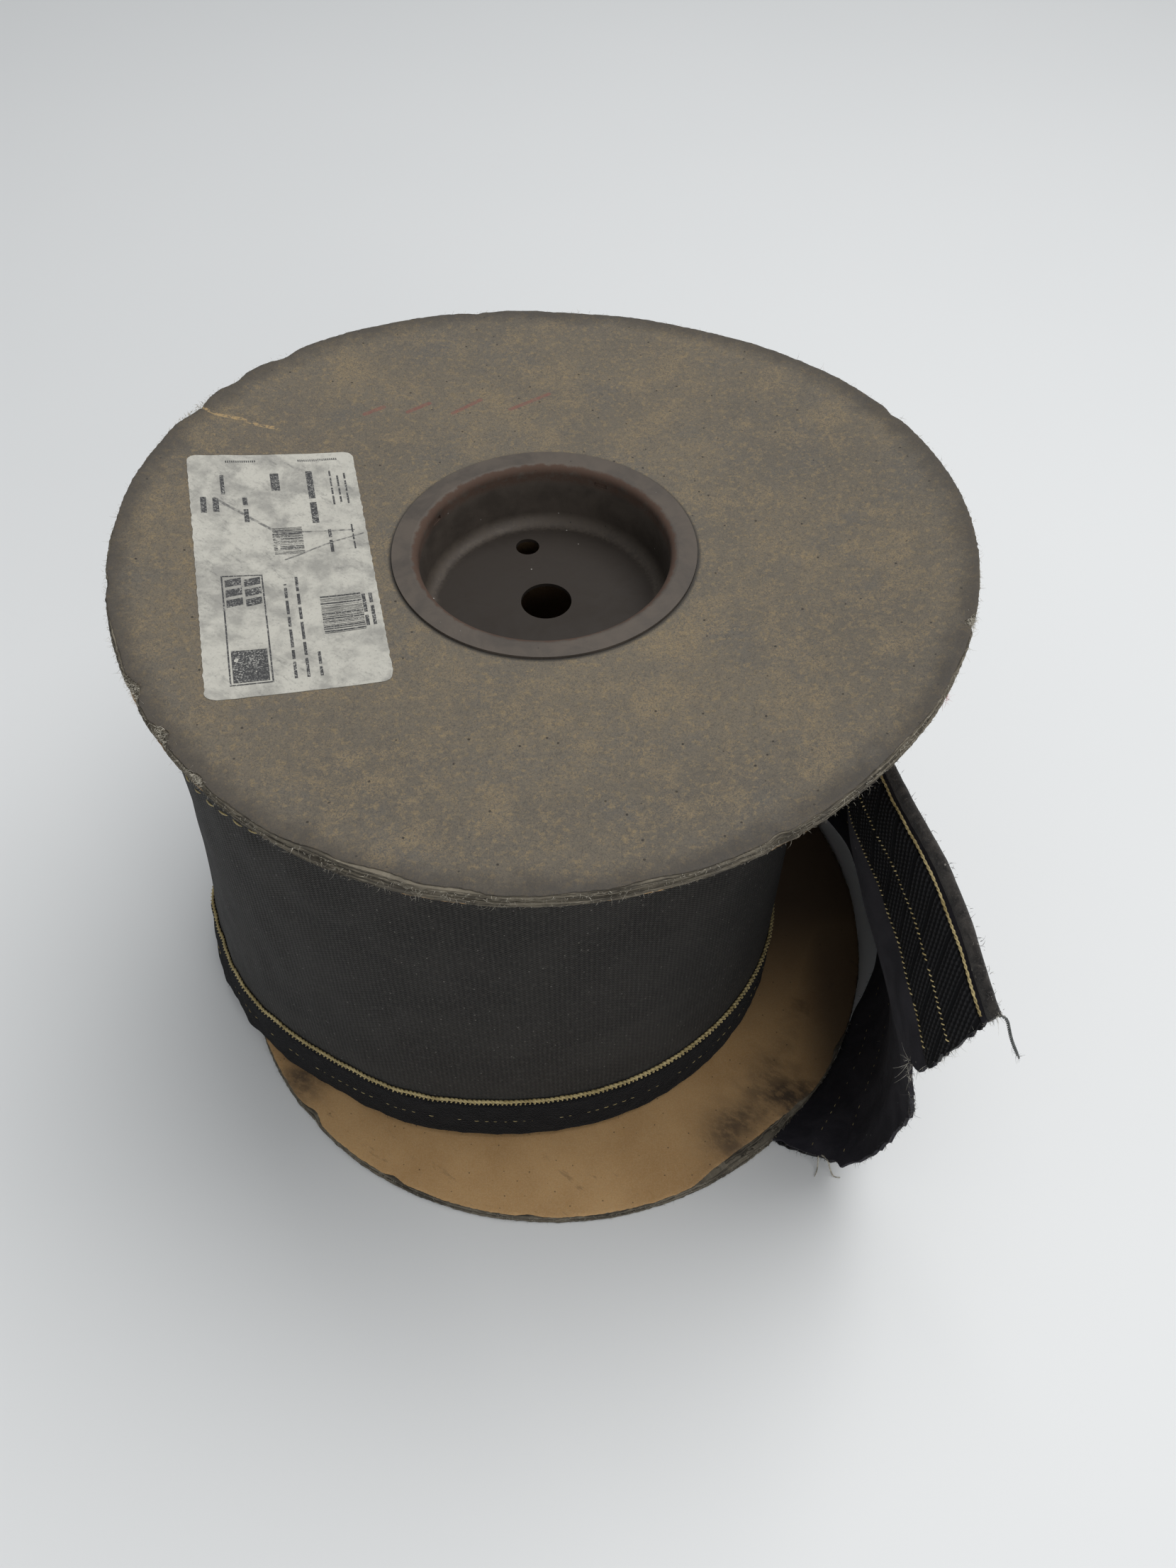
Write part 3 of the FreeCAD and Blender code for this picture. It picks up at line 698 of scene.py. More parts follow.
def tail_station(number, foot_r, low_way, high_way, drift, leans):
    """Points of one station of the tail, stepping up the cloth's own width from its foot."""
    def slope(angle):
        return math.sin(math.radians(angle))

    azimuth = math.radians(TAIL_AZIMUTH + TAIL_STEP * number)
    lift = TAIL_LIFT + STRIP_T * slope(max(leans[0], 0))
    points = [np.array([foot_r * math.cos(azimuth), foot_r * math.sin(azimuth), lift])]
    for span, length in enumerate(np.diff(HEIGHTS)):
        high = span >= LOW_SPANS
        way = math.radians(high_way if high else low_way)
        flat = slope(leans[span]) * np.array([math.cos(way), math.sin(way)])
        if high:
            flat[1] -= slope(drift)
        points.append(points[-1] + length * np.array([*flat, math.sqrt(1 - flat @ flat)]))
    return points


def rail_table():
    rows = []
    for azimuth, foot_r, edge_r, foot_z in LOOSE_TURN:
        a = math.radians(azimuth)
        radii = [edge_r + (foot_r - edge_r) * (1 - s / WIDTH) ** FLARE for s in HEIGHTS]
        rows.append([(r * math.cos(a), r * math.sin(a), foot_z + 0.995 * s) for r, s in zip(radii, HEIGHTS)])
    rows += [tail_station(number, *row) for number, row in enumerate(TAIL)]
    return rows


def cut_line(s):
    """The station where the cloth ends at each height."""
    s = np.asarray(s, float)
    wobble = 0.008 * np.sin(s * 0.11 + 1.0) + 0.005 * np.sin(s * 0.67) + 0.004 * np.sin(s * 1.73 + 2.0)
    return CUT_STATION + wobble - NOTCH_DEPTH * np.exp(-((s - NOTCH_AT) / NOTCH_HALF) ** 2)


RAILS = spline(range(TAIL_START + len(TAIL)), rail_table())
FOOT_Z = low("wound_roll")[2] + 0.2


def loose_folds(u, s):
    """Soft waves of the sprung turn and tail, growing from nothing where it leaves the roll."""
    share = smooth_step(u, 2.5, 7.5)
    at = np.stack([u * 44.0, s * 0.35], -1)
    broad = ripple(at, 120, 55, 5) * 0.55
    fine = ripple(np.stack([u * 44.0, s * 0.6], -1), 40, 16, 6) * 0.22
    hem = np.exp(-s / 14.0) * ripple(np.stack([u * 44.0, s * 0.1], -1), 46, 20, 8) * 0.2
    return share * (broad + fine + hem)


def middle(u, s):
    """The cloth's middle surface at stations u (n,) and height s, as (n, 3)."""
    out = np.zeros((len(u), 3))
    wound = u < 0
    if wound.any():
        a = np.radians(FIRST_AZIMUTH - SPAN_DEG * u[wound])
        lean = (LOOSE_TURN[0][2] - WOUND_R) * (1 - (1 - s / WIDTH) ** FLARE if s < WIDTH else 1.0)
        r = WOUND_R + LAYER * SPAN_DEG / 360 * u[wound] + lean * np.clip(1 + u[wound] / 3, 0, 1) ** 2
        out[wound] = np.stack([r * np.cos(a), r * np.sin(a), np.full(len(r), FOOT_Z + 0.995 * s)], 1)
    if (~wound).any():
        rails = np.moveaxis(RAILS(u[~wound]), 1, 0)
        out[~wound] = spline(HEIGHTS, rails)([s])[0]
    return out


def surface(u, s):
    """Middle points and outward normals over u (n, m) and s (m,), with the folds in them."""
    points = np.zeros(u.shape + (3,))
    normals = np.zeros_like(points)
    for j, height in enumerate(s):
        column = u[:, j]
        here = middle(column, height)
        along = middle(column + 0.03, height) - middle(column - 0.03, height)
        up = middle(column, height + 1.0) - middle(column, height - 1.0)
        normal = unit(np.cross(up, along))
        points[:, j] = here + normal * loose_folds(column, np.full(len(column), height))[:, None]
        normals[:, j] = normal
    return points, normals


def to_cut(u, s, fray=0.0, seed=3):
    """Stretches the last stations so that they end on the ragged cut."""
    rng = np.random.default_rng(seed)
    end = cut_line(s) + fray * rng.normal(size=len(s))
    u = np.repeat(u[:, None], len(s), 1)
    last = u.max()
    share = np.clip((u - RAGGED_FROM) / (last - RAGGED_FROM), 0, 1)
    return np.where(u > RAGGED_FROM, RAGGED_FROM + share * (end - RAGGED_FROM)[None, :], u)


FINE_U = np.linspace(-185, 21.6, 12000)
FINE_LENGTH = {}


def length_at(s):
    """Length along the wrap, mm, at each of FINE_U, from the start of the loose turn."""
    key = round(s)
    if key not in FINE_LENGTH:
        line = middle(FINE_U, float(key))
        run = np.concatenate([[0], np.cumsum(np.linalg.norm(np.diff(line, axis=0), axis=1))])
        FINE_LENGTH[key] = run - np.interp(0.0, FINE_U, run)
    return FINE_LENGTH[key]


def stations(first, last, step):
    """Stations at an even spacing of step mm along the wrap's middle height."""
    run = length_at(WIDTH / 2)
    a, b = np.interp([first, last], FINE_U, run)
    return np.interp(np.linspace(a, b, max(2, round((b - a) / step) + 1)), run, FINE_U)


def cloth_uv(u, s):
    run = np.stack([np.interp(u[:, j], FINE_U, length_at(WIDTH / 2)) for j in range(u.shape[1])], 1)
    return np.stack([run, np.repeat(np.asarray(s, float)[None, :], len(u), 0)], -1)


def ribbon(shape, u, s, near, far, kinds=(0, 0, 0)):
    """A closed strip of cloth: u (n, m) stations, s (m,) heights, offsets near and far from the middle."""
    points, normals = surface(u, s)
    near = np.broadcast_to(near, u.shape)[..., None]
    far = np.broadcast_to(far, u.shape)[..., None]
    loop = np.concatenate([points + normals * far, (points + normals * near)[:, ::-1]], 1)
    uv = cloth_uv(u, s)
    uv = np.concatenate([uv, uv[:, ::-1]], 1)
    uv = np.concatenate([uv, uv[:, :1]], 1)
    m = len(s)
    kind = [kinds[0]] * (m - 1) + [kinds[2]] + [kinds[1]] * (m - 1) + [kinds[2]]
    first = shape.grid(loop, uv, np.array(kind), close_columns=True, flip=True)
    for row, turn in ((0, 1), (len(u) - 1, -1)):
        base = first + row * 2 * m
        for j in range(m - 1):
            corners = [base + j, base + j + 1, base + 2 * m - 2 - j, base + 2 * m - 1 - j]
            shape.face(corners[::turn], kinds[2], tuple(uv[row, j]))
    return shape


# ---------------------------------------------------------------- stitches, hairs

def on_wrap(s, offset, first, last, pitch, seed, jitter=0.15):
    """Frames at an even pitch along the wrap at height s: centre, along, across, outward."""
    rng = np.random.default_rng(seed)
    run = length_at(s)
    a, b = np.interp([first, last], FINE_U, run)
    at = np.arange(a + pitch / 2, b - pitch / 2, pitch)
    at = at + rng.normal(size=len(at)) * pitch * jitter * 0.3
    u = np.interp(at, run, FINE_U)[:, None]
    points, normals = surface(u, np.array([s]))
    ahead, _ = surface(u + 0.01, np.array([s]))
    along = unit((ahead - points)[:, 0])
    normal = normals[:, 0]
    across = unit(np.cross(normal, along))
    return points[:, 0] + normal * offset, along, across, normal, at


def stitch_template(length, width, height, rings=5, sides=6):
    """One stitch: a short thread arching out of the cloth, its ends going down into it."""
    points = []
    for k in range(rings):
        t = -1 + 2 * k / (rings - 1)
        thick = 0.45 + 0.55 * math.sqrt(max(0.0, 1 - t * t))
        lift = height * (0.75 * (1 - t * t) - 0.35)
        for n in range(sides):
            a = 2 * math.pi * n / sides
            points.append((t * length / 2, width / 2 * thick * math.cos(a),
                           lift + height / 2 * thick * math.sin(a)))
    faces = []
    for k in range(rings - 1):
        for n in range(sides):
            a, b = k * sides + n, k * sides + (n + 1) % sides
            faces.append([a, b, b + sides, a + sides])
    faces.append(list(range(sides))[::-1])
    faces.append([(rings - 1) * sides + n for n in range(sides)])
    return np.array(points), faces


def stitches(shape, s, offset, first, last, pitch, size, seed, tilt=0.0, side=1, skip=0.0):
    """A row of separate stitches; side is 1 on the outer face and -1 on the inner one."""
    rng = np.random.default_rng(seed)
    centre, along, across, normal, at = on_wrap(s, offset * side, first, last, pitch, seed)
    keep = rng.random(len(centre)) >= skip
    turn = np.radians(tilt + rng.normal(size=len(centre)) * 5)[:, None]
    way = along * np.cos(turn) + across * np.sin(turn)
    sideways = np.cross(normal * side, way)
    grow = 1 + rng.normal(size=(len(centre), 1)) * 0.10
    frames = np.stack([centre, way * grow, sideways * grow, normal * side * grow], 1)[keep]
    template, faces = stitch_template(*size)
    shape.copies(template, faces, frames)


def twisted(shape, s, offset, first, last, pitch, strand_r, helix_r, seed, side=1):
    """Strands twisted about a line along the wrap, flattened against the cloth."""
    strands, sides, step = 2, 6, 0.42
    centre, along, across, normal, at = on_wrap(s, 0.0, first, last, step, seed, 0.0)
    normal = normal * side
    wander = ripple(at[:, None], 60, 9, seed + 1) * 0.16
    beat = ripple(at[:, None], 30, 5, seed + 2)
    for k in range(strands):
        phase = 2 * math.pi * (at / pitch + k / strands) + beat * 0.5
        thick = strand_r * (1 + 0.16 * ripple(at[:, None], 12, 3, seed + 5 + k))
        spot = centre + across * (wander + helix_r * np.cos(phase))[:, None]
        spot = spot + normal * (offset + 0.45 * helix_r * np.sin(phase))[:, None]
        rings = []
        for n in range(sides):
            a = 2 * math.pi * n / sides
            wide, high = thick * math.cos(a), 0.85 * thick * math.sin(a)
            rings.append(spot + across * wide[:, None] + normal * high[:, None])
        rings = np.stack(rings, 1)
        shape.tube(rings, flip=side > 0, turned=True)


def hairs(shape, roots, ways, lengths, radius, seed, curl=0.35, knots=4):
    """Tapered three-sided hairs from roots along ways, each bent its own way."""
    rng = np.random.default_rng(seed)
    roots, ways = np.asarray(roots, float), unit(np.asarray(ways, float))
    count = len(roots)
    bend = unit(rng.normal(size=(count, 3)))
    bend = unit(bend - ways * np.sum(bend * ways, 1, keepdims=True))
    other = np.cross(ways, bend)
    rings = []
    for k in range(knots):
        t = k / (knots - 1)
        reach = lengths[:, None] * t
        spot = roots + ways * reach * (1 - 0.25 * curl * t) + bend * reach * t * curl
        thick = radius * (1.0 - 0.78 * t)
        for n in range(3):
            a = 2 * math.pi * n / 3
            rings.append(spot + thick * (bend * math.cos(a) + other * math.sin(a)))
    size = knots * 3
    faces = []
    for k in range(knots - 1):
        for n in range(3):
            a, b = k * 3 + n, k * 3 + (n + 1) % 3
            faces.append([a, b, b + 3, a + 3])
    faces.append([0, 2, 1])
    faces.append([size - 3, size - 2, size - 1])
    shape.repeat(np.stack(rings, 1), faces)


def thread(shape, line, radius, seed, plies=2, sides=6):
    """A loose twisted thread along a few points, mm."""
    knots = np.linspace(0, 1, len(line))
    t = np.linspace(0, 1, 26 * (len(line) - 1))
    path = spline(knots, line)(t)
    along = unit(np.gradient(path, axis=0))
    one = unit(np.cross(along, (0.3, 0.2, 1.0)))
    two = np.cross(along, one)
    run = np.concatenate([[0], np.cumsum(np.linalg.norm(np.diff(path, axis=0), axis=1))])
    taper = (0.55 + 0.45 * np.clip((run[-1] - run) / 4, 0, 1))[:, None]
    for k in range(plies):
        phase = (2 * math.pi * (run / 2.2 + k / plies))[:, None]
        spot = path + radius * 0.6 * taper * (one * np.cos(phase) + two * np.sin(phase))
        rings = [spot + radius * 0.62 * taper * (one * math.cos(a) + two * math.sin(a))
                 for a in np.arange(sides) * 2 * math.pi / sides]
        rings = np.stack(rings, 1)
        shape.tube(rings)


# ---------------------------------------------------------------- flanges

def warp(x, y):
    """Height of the warped upper flange above its flat hub, mm."""
    r = np.hypot(x, y)
    share = np.clip((r - WARP_SEAT) / (RIM_R - WARP_SEAT), 0, 1.1) ** WARP_POWER
    return share * (WARP_MEAN + WARP_SWING * np.cos(2 * (np.arctan2(y, x) - WARP_AZIMUTH)))


def no_warp(x, y):
    return np.zeros_like(np.hypot(x, y))


AROUND = 1080
AZIMUTHS = np.arange(AROUND) * 2 * math.pi / AROUND


def ring_layer(name, material, slot, node, inner, rim, z, thickness, lift, relief, radial=10,
               strata=0.0, seed=0, rim_rows=7, under=None):
    """One laminated layer of a flange, its rim worn: rim (AROUND,) radii, lift the warp."""
    rows, places = [], []
    profile = 0.0

    def add(radius, height_in, extra, place):
        x, y = radius * np.cos(AZIMUTHS), radius * np.sin(AZIMUTHS)
        rows.append(np.stack([x, y, z + height_in + lift(x, y) + extra(x, y)], -1))
        places.append(np.stack([np.arange(AROUND + 1) * RIM_R * 2 * math.pi / AROUND,
                                np.full(AROUND + 1, place)], -1))

    under = under or relief
    worn = 0.35 * min(thickness, 1.2)
    shares = np.linspace(0, 1, radial) ** 0.85
    for share in shares:
        add(inner + (rim - worn - inner) * share, thickness, relief, profile)
    for k in range(rim_rows):
        t = (k + 0.5) / rim_rows
        bulge = worn * math.sin(math.pi * t) ** 0.35
        rough = strata * (0.55 * round_ripple(AZIMUTHS, 25, 420, seed * 31 + k)
                          + 0.45 * math.sin(t * 19 + seed)) if strata else 0.0
        add(rim - worn + bulge + rough, thickness * (1 - t),
            lambda x, y: relief(x, y) * (1 - t) + under(x, y) * t, thickness * (1 - t))
    for share in np.linspace(1, 0, max(4, radial // 6)):
        add(inner + (rim - worn - inner) * share, 0.0, under, 0.0)
    shape = Shape()
    grid = np.stack(rows, 1)
    uv = np.stack(places + [places[0]], 1)
    shape.grid(grid, uv, 0, close_rows=True, close_columns=True, flip=False)
    return shape.piece(name, [material], slot, (node,), sharp=60)


def worn_rim(seed, base, bites=(), wander=0.22, fine=0.09):
    """Radii round a rim; a bite is (azimuth, half width in degrees, depth)."""
    rim = base + wander * round_ripple(AZIMUTHS, 3, 24, seed)
    rim = rim + fine * round_ripple(AZIMUTHS, 60, 500, seed + 1)
    for azimuth, width, depth in bites:
        rim = rim - depth * bump_at(AZIMUTHS, azimuth, width)
    return np.minimum(rim, RIM_R + 0.6)


# azimuth and half width in degrees, depth in mm
CHIPS = [(-152.5, 1.6, 2.4), (-144.3, 1.4, 2.6), (-136.0, 1.0, 1.2), (-21.5, 0.9, 2.4), (151.5, 3.0, 1.9),
         (143.0, 2.0, 1.2), (133.5, 2.4, 1.5), (100.0, 1.2, 0.8), (-171.0, 1.4, 0.9),
         (25.0, 1.3, 0.8), (-64.0, 1.0, 1.0)]
SET_BACK = [(-118.0, 3.4, 1.5), (-110.0, 4.6, 1.9), (-101.0, 3.0, 1.2), (-79.0, 3.0, 0.9), (-88.0, 2.0, 0.5),
            (-160.0, 5.0, 0.7), (-45.0, 6.0, 0.6)]
TORN = [(-63, 4.0, 2.6), (-57, 4.5, 3.2), (-50, 4.5, 3.0), (-44, 3.0, 1.6), (-139, 2.0, 2.2),
        (-120, 1.2, 1.0), (-96, 1.5, 0.8), (-30, 2.0, 1.2), (60, 3, 1.2)]


def shallower(bites, share):
    return [(azimuth, width, share * depth) for azimuth, width, depth in bites]


def board_relief(seed, amplitude):
    def relief(x, y):
        at = np.stack([x, y], -1)
        r = np.hypot(x, y)
        calm = smooth_step(r, WARP_SEAT, WARP_SEAT + 8)
        a = np.arctan2(y, x)
        out = amplitude * calm * (ripple(at, 60, 22, seed) + 0.35 * ripple(at, 14, 5, seed + 1))
        edge = smooth_step(r, 119, 127)
        out -= 0.9 * edge * bump_at(a, -21.5, 1.6) + 0.7 * edge * bump_at(a, -144.3, 2.0)
        frayed = 0.06 * edge * np.clip(round_ripple(a, 20, 160, seed + 2), 0, 2)
        out -= 0.6 * edge * bump_at(a, -152.5, 2.0) + frayed
        across = np.abs((x + 98) * 0.24 + (y - 59) * 0.97)
        crease = np.exp(-(across / 1.3) ** 2) * smooth_step(r, 100, 106)
        return out - 0.5 * crease * (np.abs(np.degrees(a) - 149) < 12)
    return relief


def flanges(kraft_top, kraft_face, board):
    """The seven layers of board and facing that make the two flanges."""
    z = BOARD_TOP - FLANGE_T
    relief = board_relief(11, 0.10)
    flat = board_relief(29, 0.0)
    set_back = worn_rim(41, RIM_R - 0.5, CHIPS + SET_BACK, 0.10, 0.05)
    top_ply = worn_rim(43, RIM_R - 0.1, shallower(CHIPS, 0.75) + shallower(SET_BACK, 0.35), 0.08, 0.04)
    low_ply = worn_rim(47, RIM_R + 0.1, shallower(CHIPS, 0.35), 0.07, 0.03)
    face = worn_rim(53, RIM_R - 0.4, [(-50, 6, 0.5), (70, 3, 0.6)], 0.08, 0.05)
    neck = CUP_OUTER_R + 0.1
    ring_layer("upper_top_facing", kraft_top, "kraft_outer", "upper_flange_outer_liner", WARP_SEAT, set_back,
               BOARD_TOP - LINER_T, LINER_T, warp, relief, 66, 0.10, 1, 4)
    ring_layer("upper_top_ply", board, "chipboard", "upper_flange_outer_ply", LIP_R - 3, top_ply,
               z + LINER_T + PLY_T, PLY_T, warp, relief, 12, 0.16, 2, 9)
    ring_layer("upper_low_ply", board, "chipboard", "upper_flange_inner_ply", neck, low_ply,
               z + LINER_T, PLY_T, warp, relief, 12, 0.16, 3, 9)
    ring_layer("upper_low_facing", kraft_face, "kraft_inner", "upper_flange_inner_liner", neck, face,
               z, LINER_T, warp, relief, 40, 0.10, 4, 4)

    torn = worn_rim(59, RIM_R - 0.3, TORN, 0.14, 0.07)
    mid_ply = worn_rim(61, RIM_R, [(-59, 3.5, 1.2), (-47, 3.0, 1.0), (-139, 2.0, 1.2)], 0.10, 0.05)
    foot_ply = worn_rim(67, RIM_R + 0.2, [(-139, 2.0, 0.6)], 0.08, 0.04)

    def sag(x, y):
        a, r = np.arctan2(y, x), np.hypot(x, y)
        droop = bump_at(a, -54, 9) * smooth_step(r, 119.5, 127.5)
        return -0.55 * droop - 0.3 * smooth_step(r, 122, 127) * bump_at(a, -139, 3)

    ring_layer("lower_top_facing", kraft_face, "kraft_inner", "lower_flange_inner_liner", neck, torn,
               FLANGE_T - LINER_T, LINER_T, no_warp, sag, 60, 0.12, 5, 4, under=sag)
    ring_layer("lower_top_ply", board, "chipboard", "lower_flange_inner_ply", neck, mid_ply,
               FLANGE_T - LINER_T - PLY_T, PLY_T, no_warp,
               lambda x, y: 1.15 * sag(x, y), 14, 0.18, 6, 9, under=flat)
    ring_layer("lower_foot_ply", board, "chipboard", "lower_flange_outer_ply", LIP_R + 0.1, foot_ply,
               0.0, PLY_T + LINER_T, no_warp, flat, 12, 0.16, 7, 9, under=no_warp)


def lifted_plies(board):
    """Thin torn strips of board standing away at the lower flange's front right rim."""
    shape = Shape()
    rng = np.random.default_rng(71)
    for k in range(5):
        a = np.radians(np.linspace(-66 + 3 * k + rng.random() * 2, -43 + 1.5 * k * (-1) ** k, 90))
        t = np.linspace(0, 1, 90)
        lens = np.sin(math.pi * t) ** 0.7
        inner = 123.6 + 0.55 * k + 0.25 * ripple(t[:, None] * 60, 30, 8, 80 + k)
        outer = inner + (1.1 + 0.35 * k) * lens + 0.15 + 0.22 * ripple(t[:, None] * 60, 9, 3, 90 + k)
        top = FLANGE_T - 0.35 - 0.62 * k + 0.22 * lens * ripple(t[:, None] * 60, 24, 7, 70 + k)
        tip = top - 0.25 + 0.55 * lens * (0.4 + 0.6 * np.abs(ripple(t[:, None] * 60, 12, 5, 60 + k)))
        thick = 0.22
        loop = []
        for r, z in ((inner, top), (outer, tip), (outer, tip - thick), (inner, top - thick)):
            loop.append(np.stack([r * np.cos(a), r * np.sin(a), np.maximum(z, 0.1)], -1))
        loop = np.stack(loop, 1)
        uv = np.stack([np.repeat(t[:, None] * 55, 5, 1), np.repeat(np.arange(5)[None] * 0.9 + k, 90, 0)], -1)
        shape.tube(loop, uv, flip=True, turned=True)
    return shape.piece("lifted_plies", [board], "chipboard")


def rim_fuzz(material):
    """Paper fibres standing off both worn rims."""
    shape = Shape()
    rng = np.random.default_rng(83)
    for count, base_z, height, lift, radius in ((2600, BOARD_TOP - FLANGE_T, FLANGE_T, warp, RIM_R - 0.2),
                                               (1500, 0.2, FLANGE_T - 0.4, no_warp, RIM_R - 0.1)):
        a = rng.random(count) * 2 * math.pi
        t = rng.random(count)
        r = radius + rng.normal(size=count) * 0.25
        x, y = r * np.cos(a), r * np.sin(a)
        roots = np.stack([x, y, base_z + lift(x, y) + height * t], -1)
        ways = np.stack([np.cos(a), np.sin(a), rng.normal(size=count) * 0.7 - 0.15], -1)
        ways += np.stack([-np.sin(a), np.cos(a), 0 * a], -1) * rng.normal(size=(count, 1)) * 1.1
        lengths = 0.35 + rng.gamma(1.6, 0.38, count)
        hairs(shape, roots, ways, np.minimum(lengths, 2.6), 0.055, 84, 0.6)
    for azimuth, width, depth in CHIPS[:5]:
        count = 120
        a = np.radians(azimuth + rng.normal(size=count) * width)
        r = RIM_R - depth * rng.random(count) - 0.2
        x, y = r * np.cos(a), r * np.sin(a)
        roots = np.stack([x, y, BOARD_TOP + warp(x, y) - 0.3 - 1.4 * rng.random(count)], -1)
        ways = np.stack([np.cos(a), np.sin(a), 0.2 + rng.normal(size=count) * 0.8], -1)
        ways = ways + rng.normal(size=(count, 3)) * 0.5
        hairs(shape, roots, ways, 0.5 + rng.random(count) * 1.1, 0.09, 85, 0.8)
    return shape.piece("rim_fibres", [material], "chipboard")


# ---------------------------------------------------------------- label

LABEL_LONG = 101.6
LABEL_SHORT = 50.8
LABEL_TURN = math.radians(10.5)
LABEL_CORNER = 3.0
BOARD = board_relief(11, 0.10)


def on_label(p, q, lift):
    """A place on the label: p across it, q along it from the middle, mm."""
    p, q = np.asarray(p, float), np.asarray(q, float)
    x = LABEL_MIDDLE[0] + p * math.cos(LABEL_TURN) - q * math.sin(LABEL_TURN)
    y = LABEL_MIDDLE[1] + p * math.sin(LABEL_TURN) + q * math.cos(LABEL_TURN)
    at = np.stack([p, q], -1)
    fold = np.exp(-((p * 0.52 + q * 0.85 - 10) / 1.1) ** 2)
    wrinkle = 0.05 * np.clip(ripple(at, 26, 7, 101), 0, 2) + 0.10 * fold
    return np.stack([x, y, BOARD_TOP + warp(x, y) + BOARD(x, y) + 0.04 + wrinkle + lift], -1)


def label(paper):
    """The label: a thin rounded sheet that follows the warped board."""
    shape = Shape()
    half_p, half_q = LABEL_SHORT / 2, LABEL_LONG / 2
    q = np.linspace(-half_q, half_q, 204)
    over = np.clip(np.abs(q) - (half_q - LABEL_CORNER), 0, LABEL_CORNER)
    half = half_p - LABEL_CORNER + np.sqrt(np.maximum(LABEL_CORNER ** 2 - over ** 2, 0.05))
    share = np.linspace(-1, 1, 90)
    p = half[:, None] * share[None, :]
    grid_q = np.repeat(q[:, None], 90, 1)
    nick = 0.12 * ripple(q[:, None], 9, 2, 102)
    p = p + nick[:, None] * (np.abs(share) > 0.99)
    top, bottom = on_label(p, grid_q, 0.16), on_label(p, grid_q, 0.0)
    shape.grid(np.concatenate([top, bottom[:, ::-1]], 1), close_columns=True)
    for row, turn in ((0, 1), (203, -1)):
        for j in range(89):
            corners = [row * 180 + j, row * 180 + j + 1, row * 180 + 178 - j, row * 180 + 179 - j]
            shape.face(corners[::-turn])
    return shape.piece("shipping_label", [paper], "label_paper", ("label",))


def ink_block(shape, p0, q0, p1, q1, slant=0.0):
    """A printed block, laid on the paper in cells small enough to follow it."""
    n = max(1, math.ceil(abs(p1 - p0) / 3))
    m = max(1, math.ceil(abs(q1 - q0) / 3))
    p, q = np.meshgrid(np.linspace(p0, p1, n + 1), np.linspace(q0, q1, m + 1), indexing="ij")
    q = q + slant * (p - p0)
    top, bottom = on_label(p, q, 0.20), on_label(p, q, 0.165)
    shape.grid(np.concatenate([top, bottom[:, ::-1]], 1), close_columns=True)
    first = shape.count - 2 * (n + 1) * (m + 1)
    row = 2 * (m + 1)
    for i, turn in ((0, -1), (n, 1)):
        for j in range(m):
            base = first + i * row
            corners = [base + j, base + j + 1, base + row - 2 - j, base + row - 1 - j]
            shape.face(corners[::turn])


def word_bars(shape, p, q0, q1, height, rng):
    """A line of stand-in text: one plain bar for each word."""
    q = q0
    while q < q1:
        end = min(q + height * (1.6 + 2.4 * rng.random()), q1)
        ink_block(shape, p - 0.22 * height, q, p + 0.22 * height, end)
        q = end + 0.6 * height


def bars(shape, p0, p1, q0, q1, rng):
    """A patch of parallel bars of mixed widths."""
    q = q0
    while q < q1:
        wide = (0.22, 0.22, 0.42, 0.62)[rng.integers(0, 4)]
        ink_block(shape, p0 + rng.random() * 0.25, q, p1 - rng.random() * 0.25, q + wide)
        q += wide + (0.24, 0.30, 0.48)[rng.integers(0, 3)]


def frame_line(shape, p0, q0, p1, q1, wide=0.35):
    for a in ((p0, q0, p1, q0 + wide), (p0, q1 - wide, p1, q1), (p0, q0 + wide, p0 + wide, q1 - wide),
              (p1 - wide, q0 + wide, p1, q1 - wide)):
        ink_block(shape, *a)


# rows of word bars: place across the label, from and to along it, height of the row, mm
WORD_ROWS = [
    (-21.6, 25.0, 32.8, 3.9), (-18.0, 25.4, 31.5, 4.0), (-15.6, 33.2, 42.0, 2.6),
    (-9.4, 20.6, 31.4, 3.2), (0.2, 34.2, 42.0, 6.0), (-0.8, -45.6, -7.0, 1.9),
    (2.6, -45.6, -4.0, 1.9), (6.2, -45.6, -36.0, 1.9), (14.4, 4.8, 15.2, 2.2),
    (17.2, 26.4, 42.4, 1.3), (19.4, 27.2, 40.6, 1.3), (21.6, 26.4, 41.0, 1.3),
    (21.2, 5.4, 17.4, 1.1), (21.0, -28.0, -14.6, 2.3), (23.0, -28.0, -14.6, 2.3)]


def label_print(ink):
    """Stand-in print: a framed panel of plain blocks, bars, and word bars. It says nothing."""
    shape = Shape()
    rng = np.random.default_rng(111)
    frame_line(shape, -18.6, -46.2, -6.8, -2.4, 0.45)
    for p0 in (-17.6, -12.2):
        for k in range(3):
            ink_block(shape, p0, -7.2 - 4.1 * k, p0 + 4.6, -4.3 - 4.1 * k, 0.22)
    ink_block(shape, -17.6, -45.2, -7.8, -32.8)
    bars(shape, -2.6, 6.4, 5.6, 17.4, rng)
    bars(shape, 8.4, 20.4, -29.2, -13.6, rng)
    for p, q0, q1, height in WORD_ROWS:
        word_bars(shape, p, q0, q1, height, rng)
    ink_block(shape, 9.8, 18.6, 11.8, 28.2)
    ink_block(shape, 9.8, 30.0, 11.8, 42.6)
    for p0, q0, count in ((-14.0, 47.4, 15), (8.0, 47.2, 20)):
        for k in range(count):
            ink_block(shape, p0 + 0.62 * k, q0, p0 + 0.62 * k + 0.34, q0 + 0.9)
    return shape.piece("label_print", [ink], "label_paper")


# ---------------------------------------------------------------- the wrap

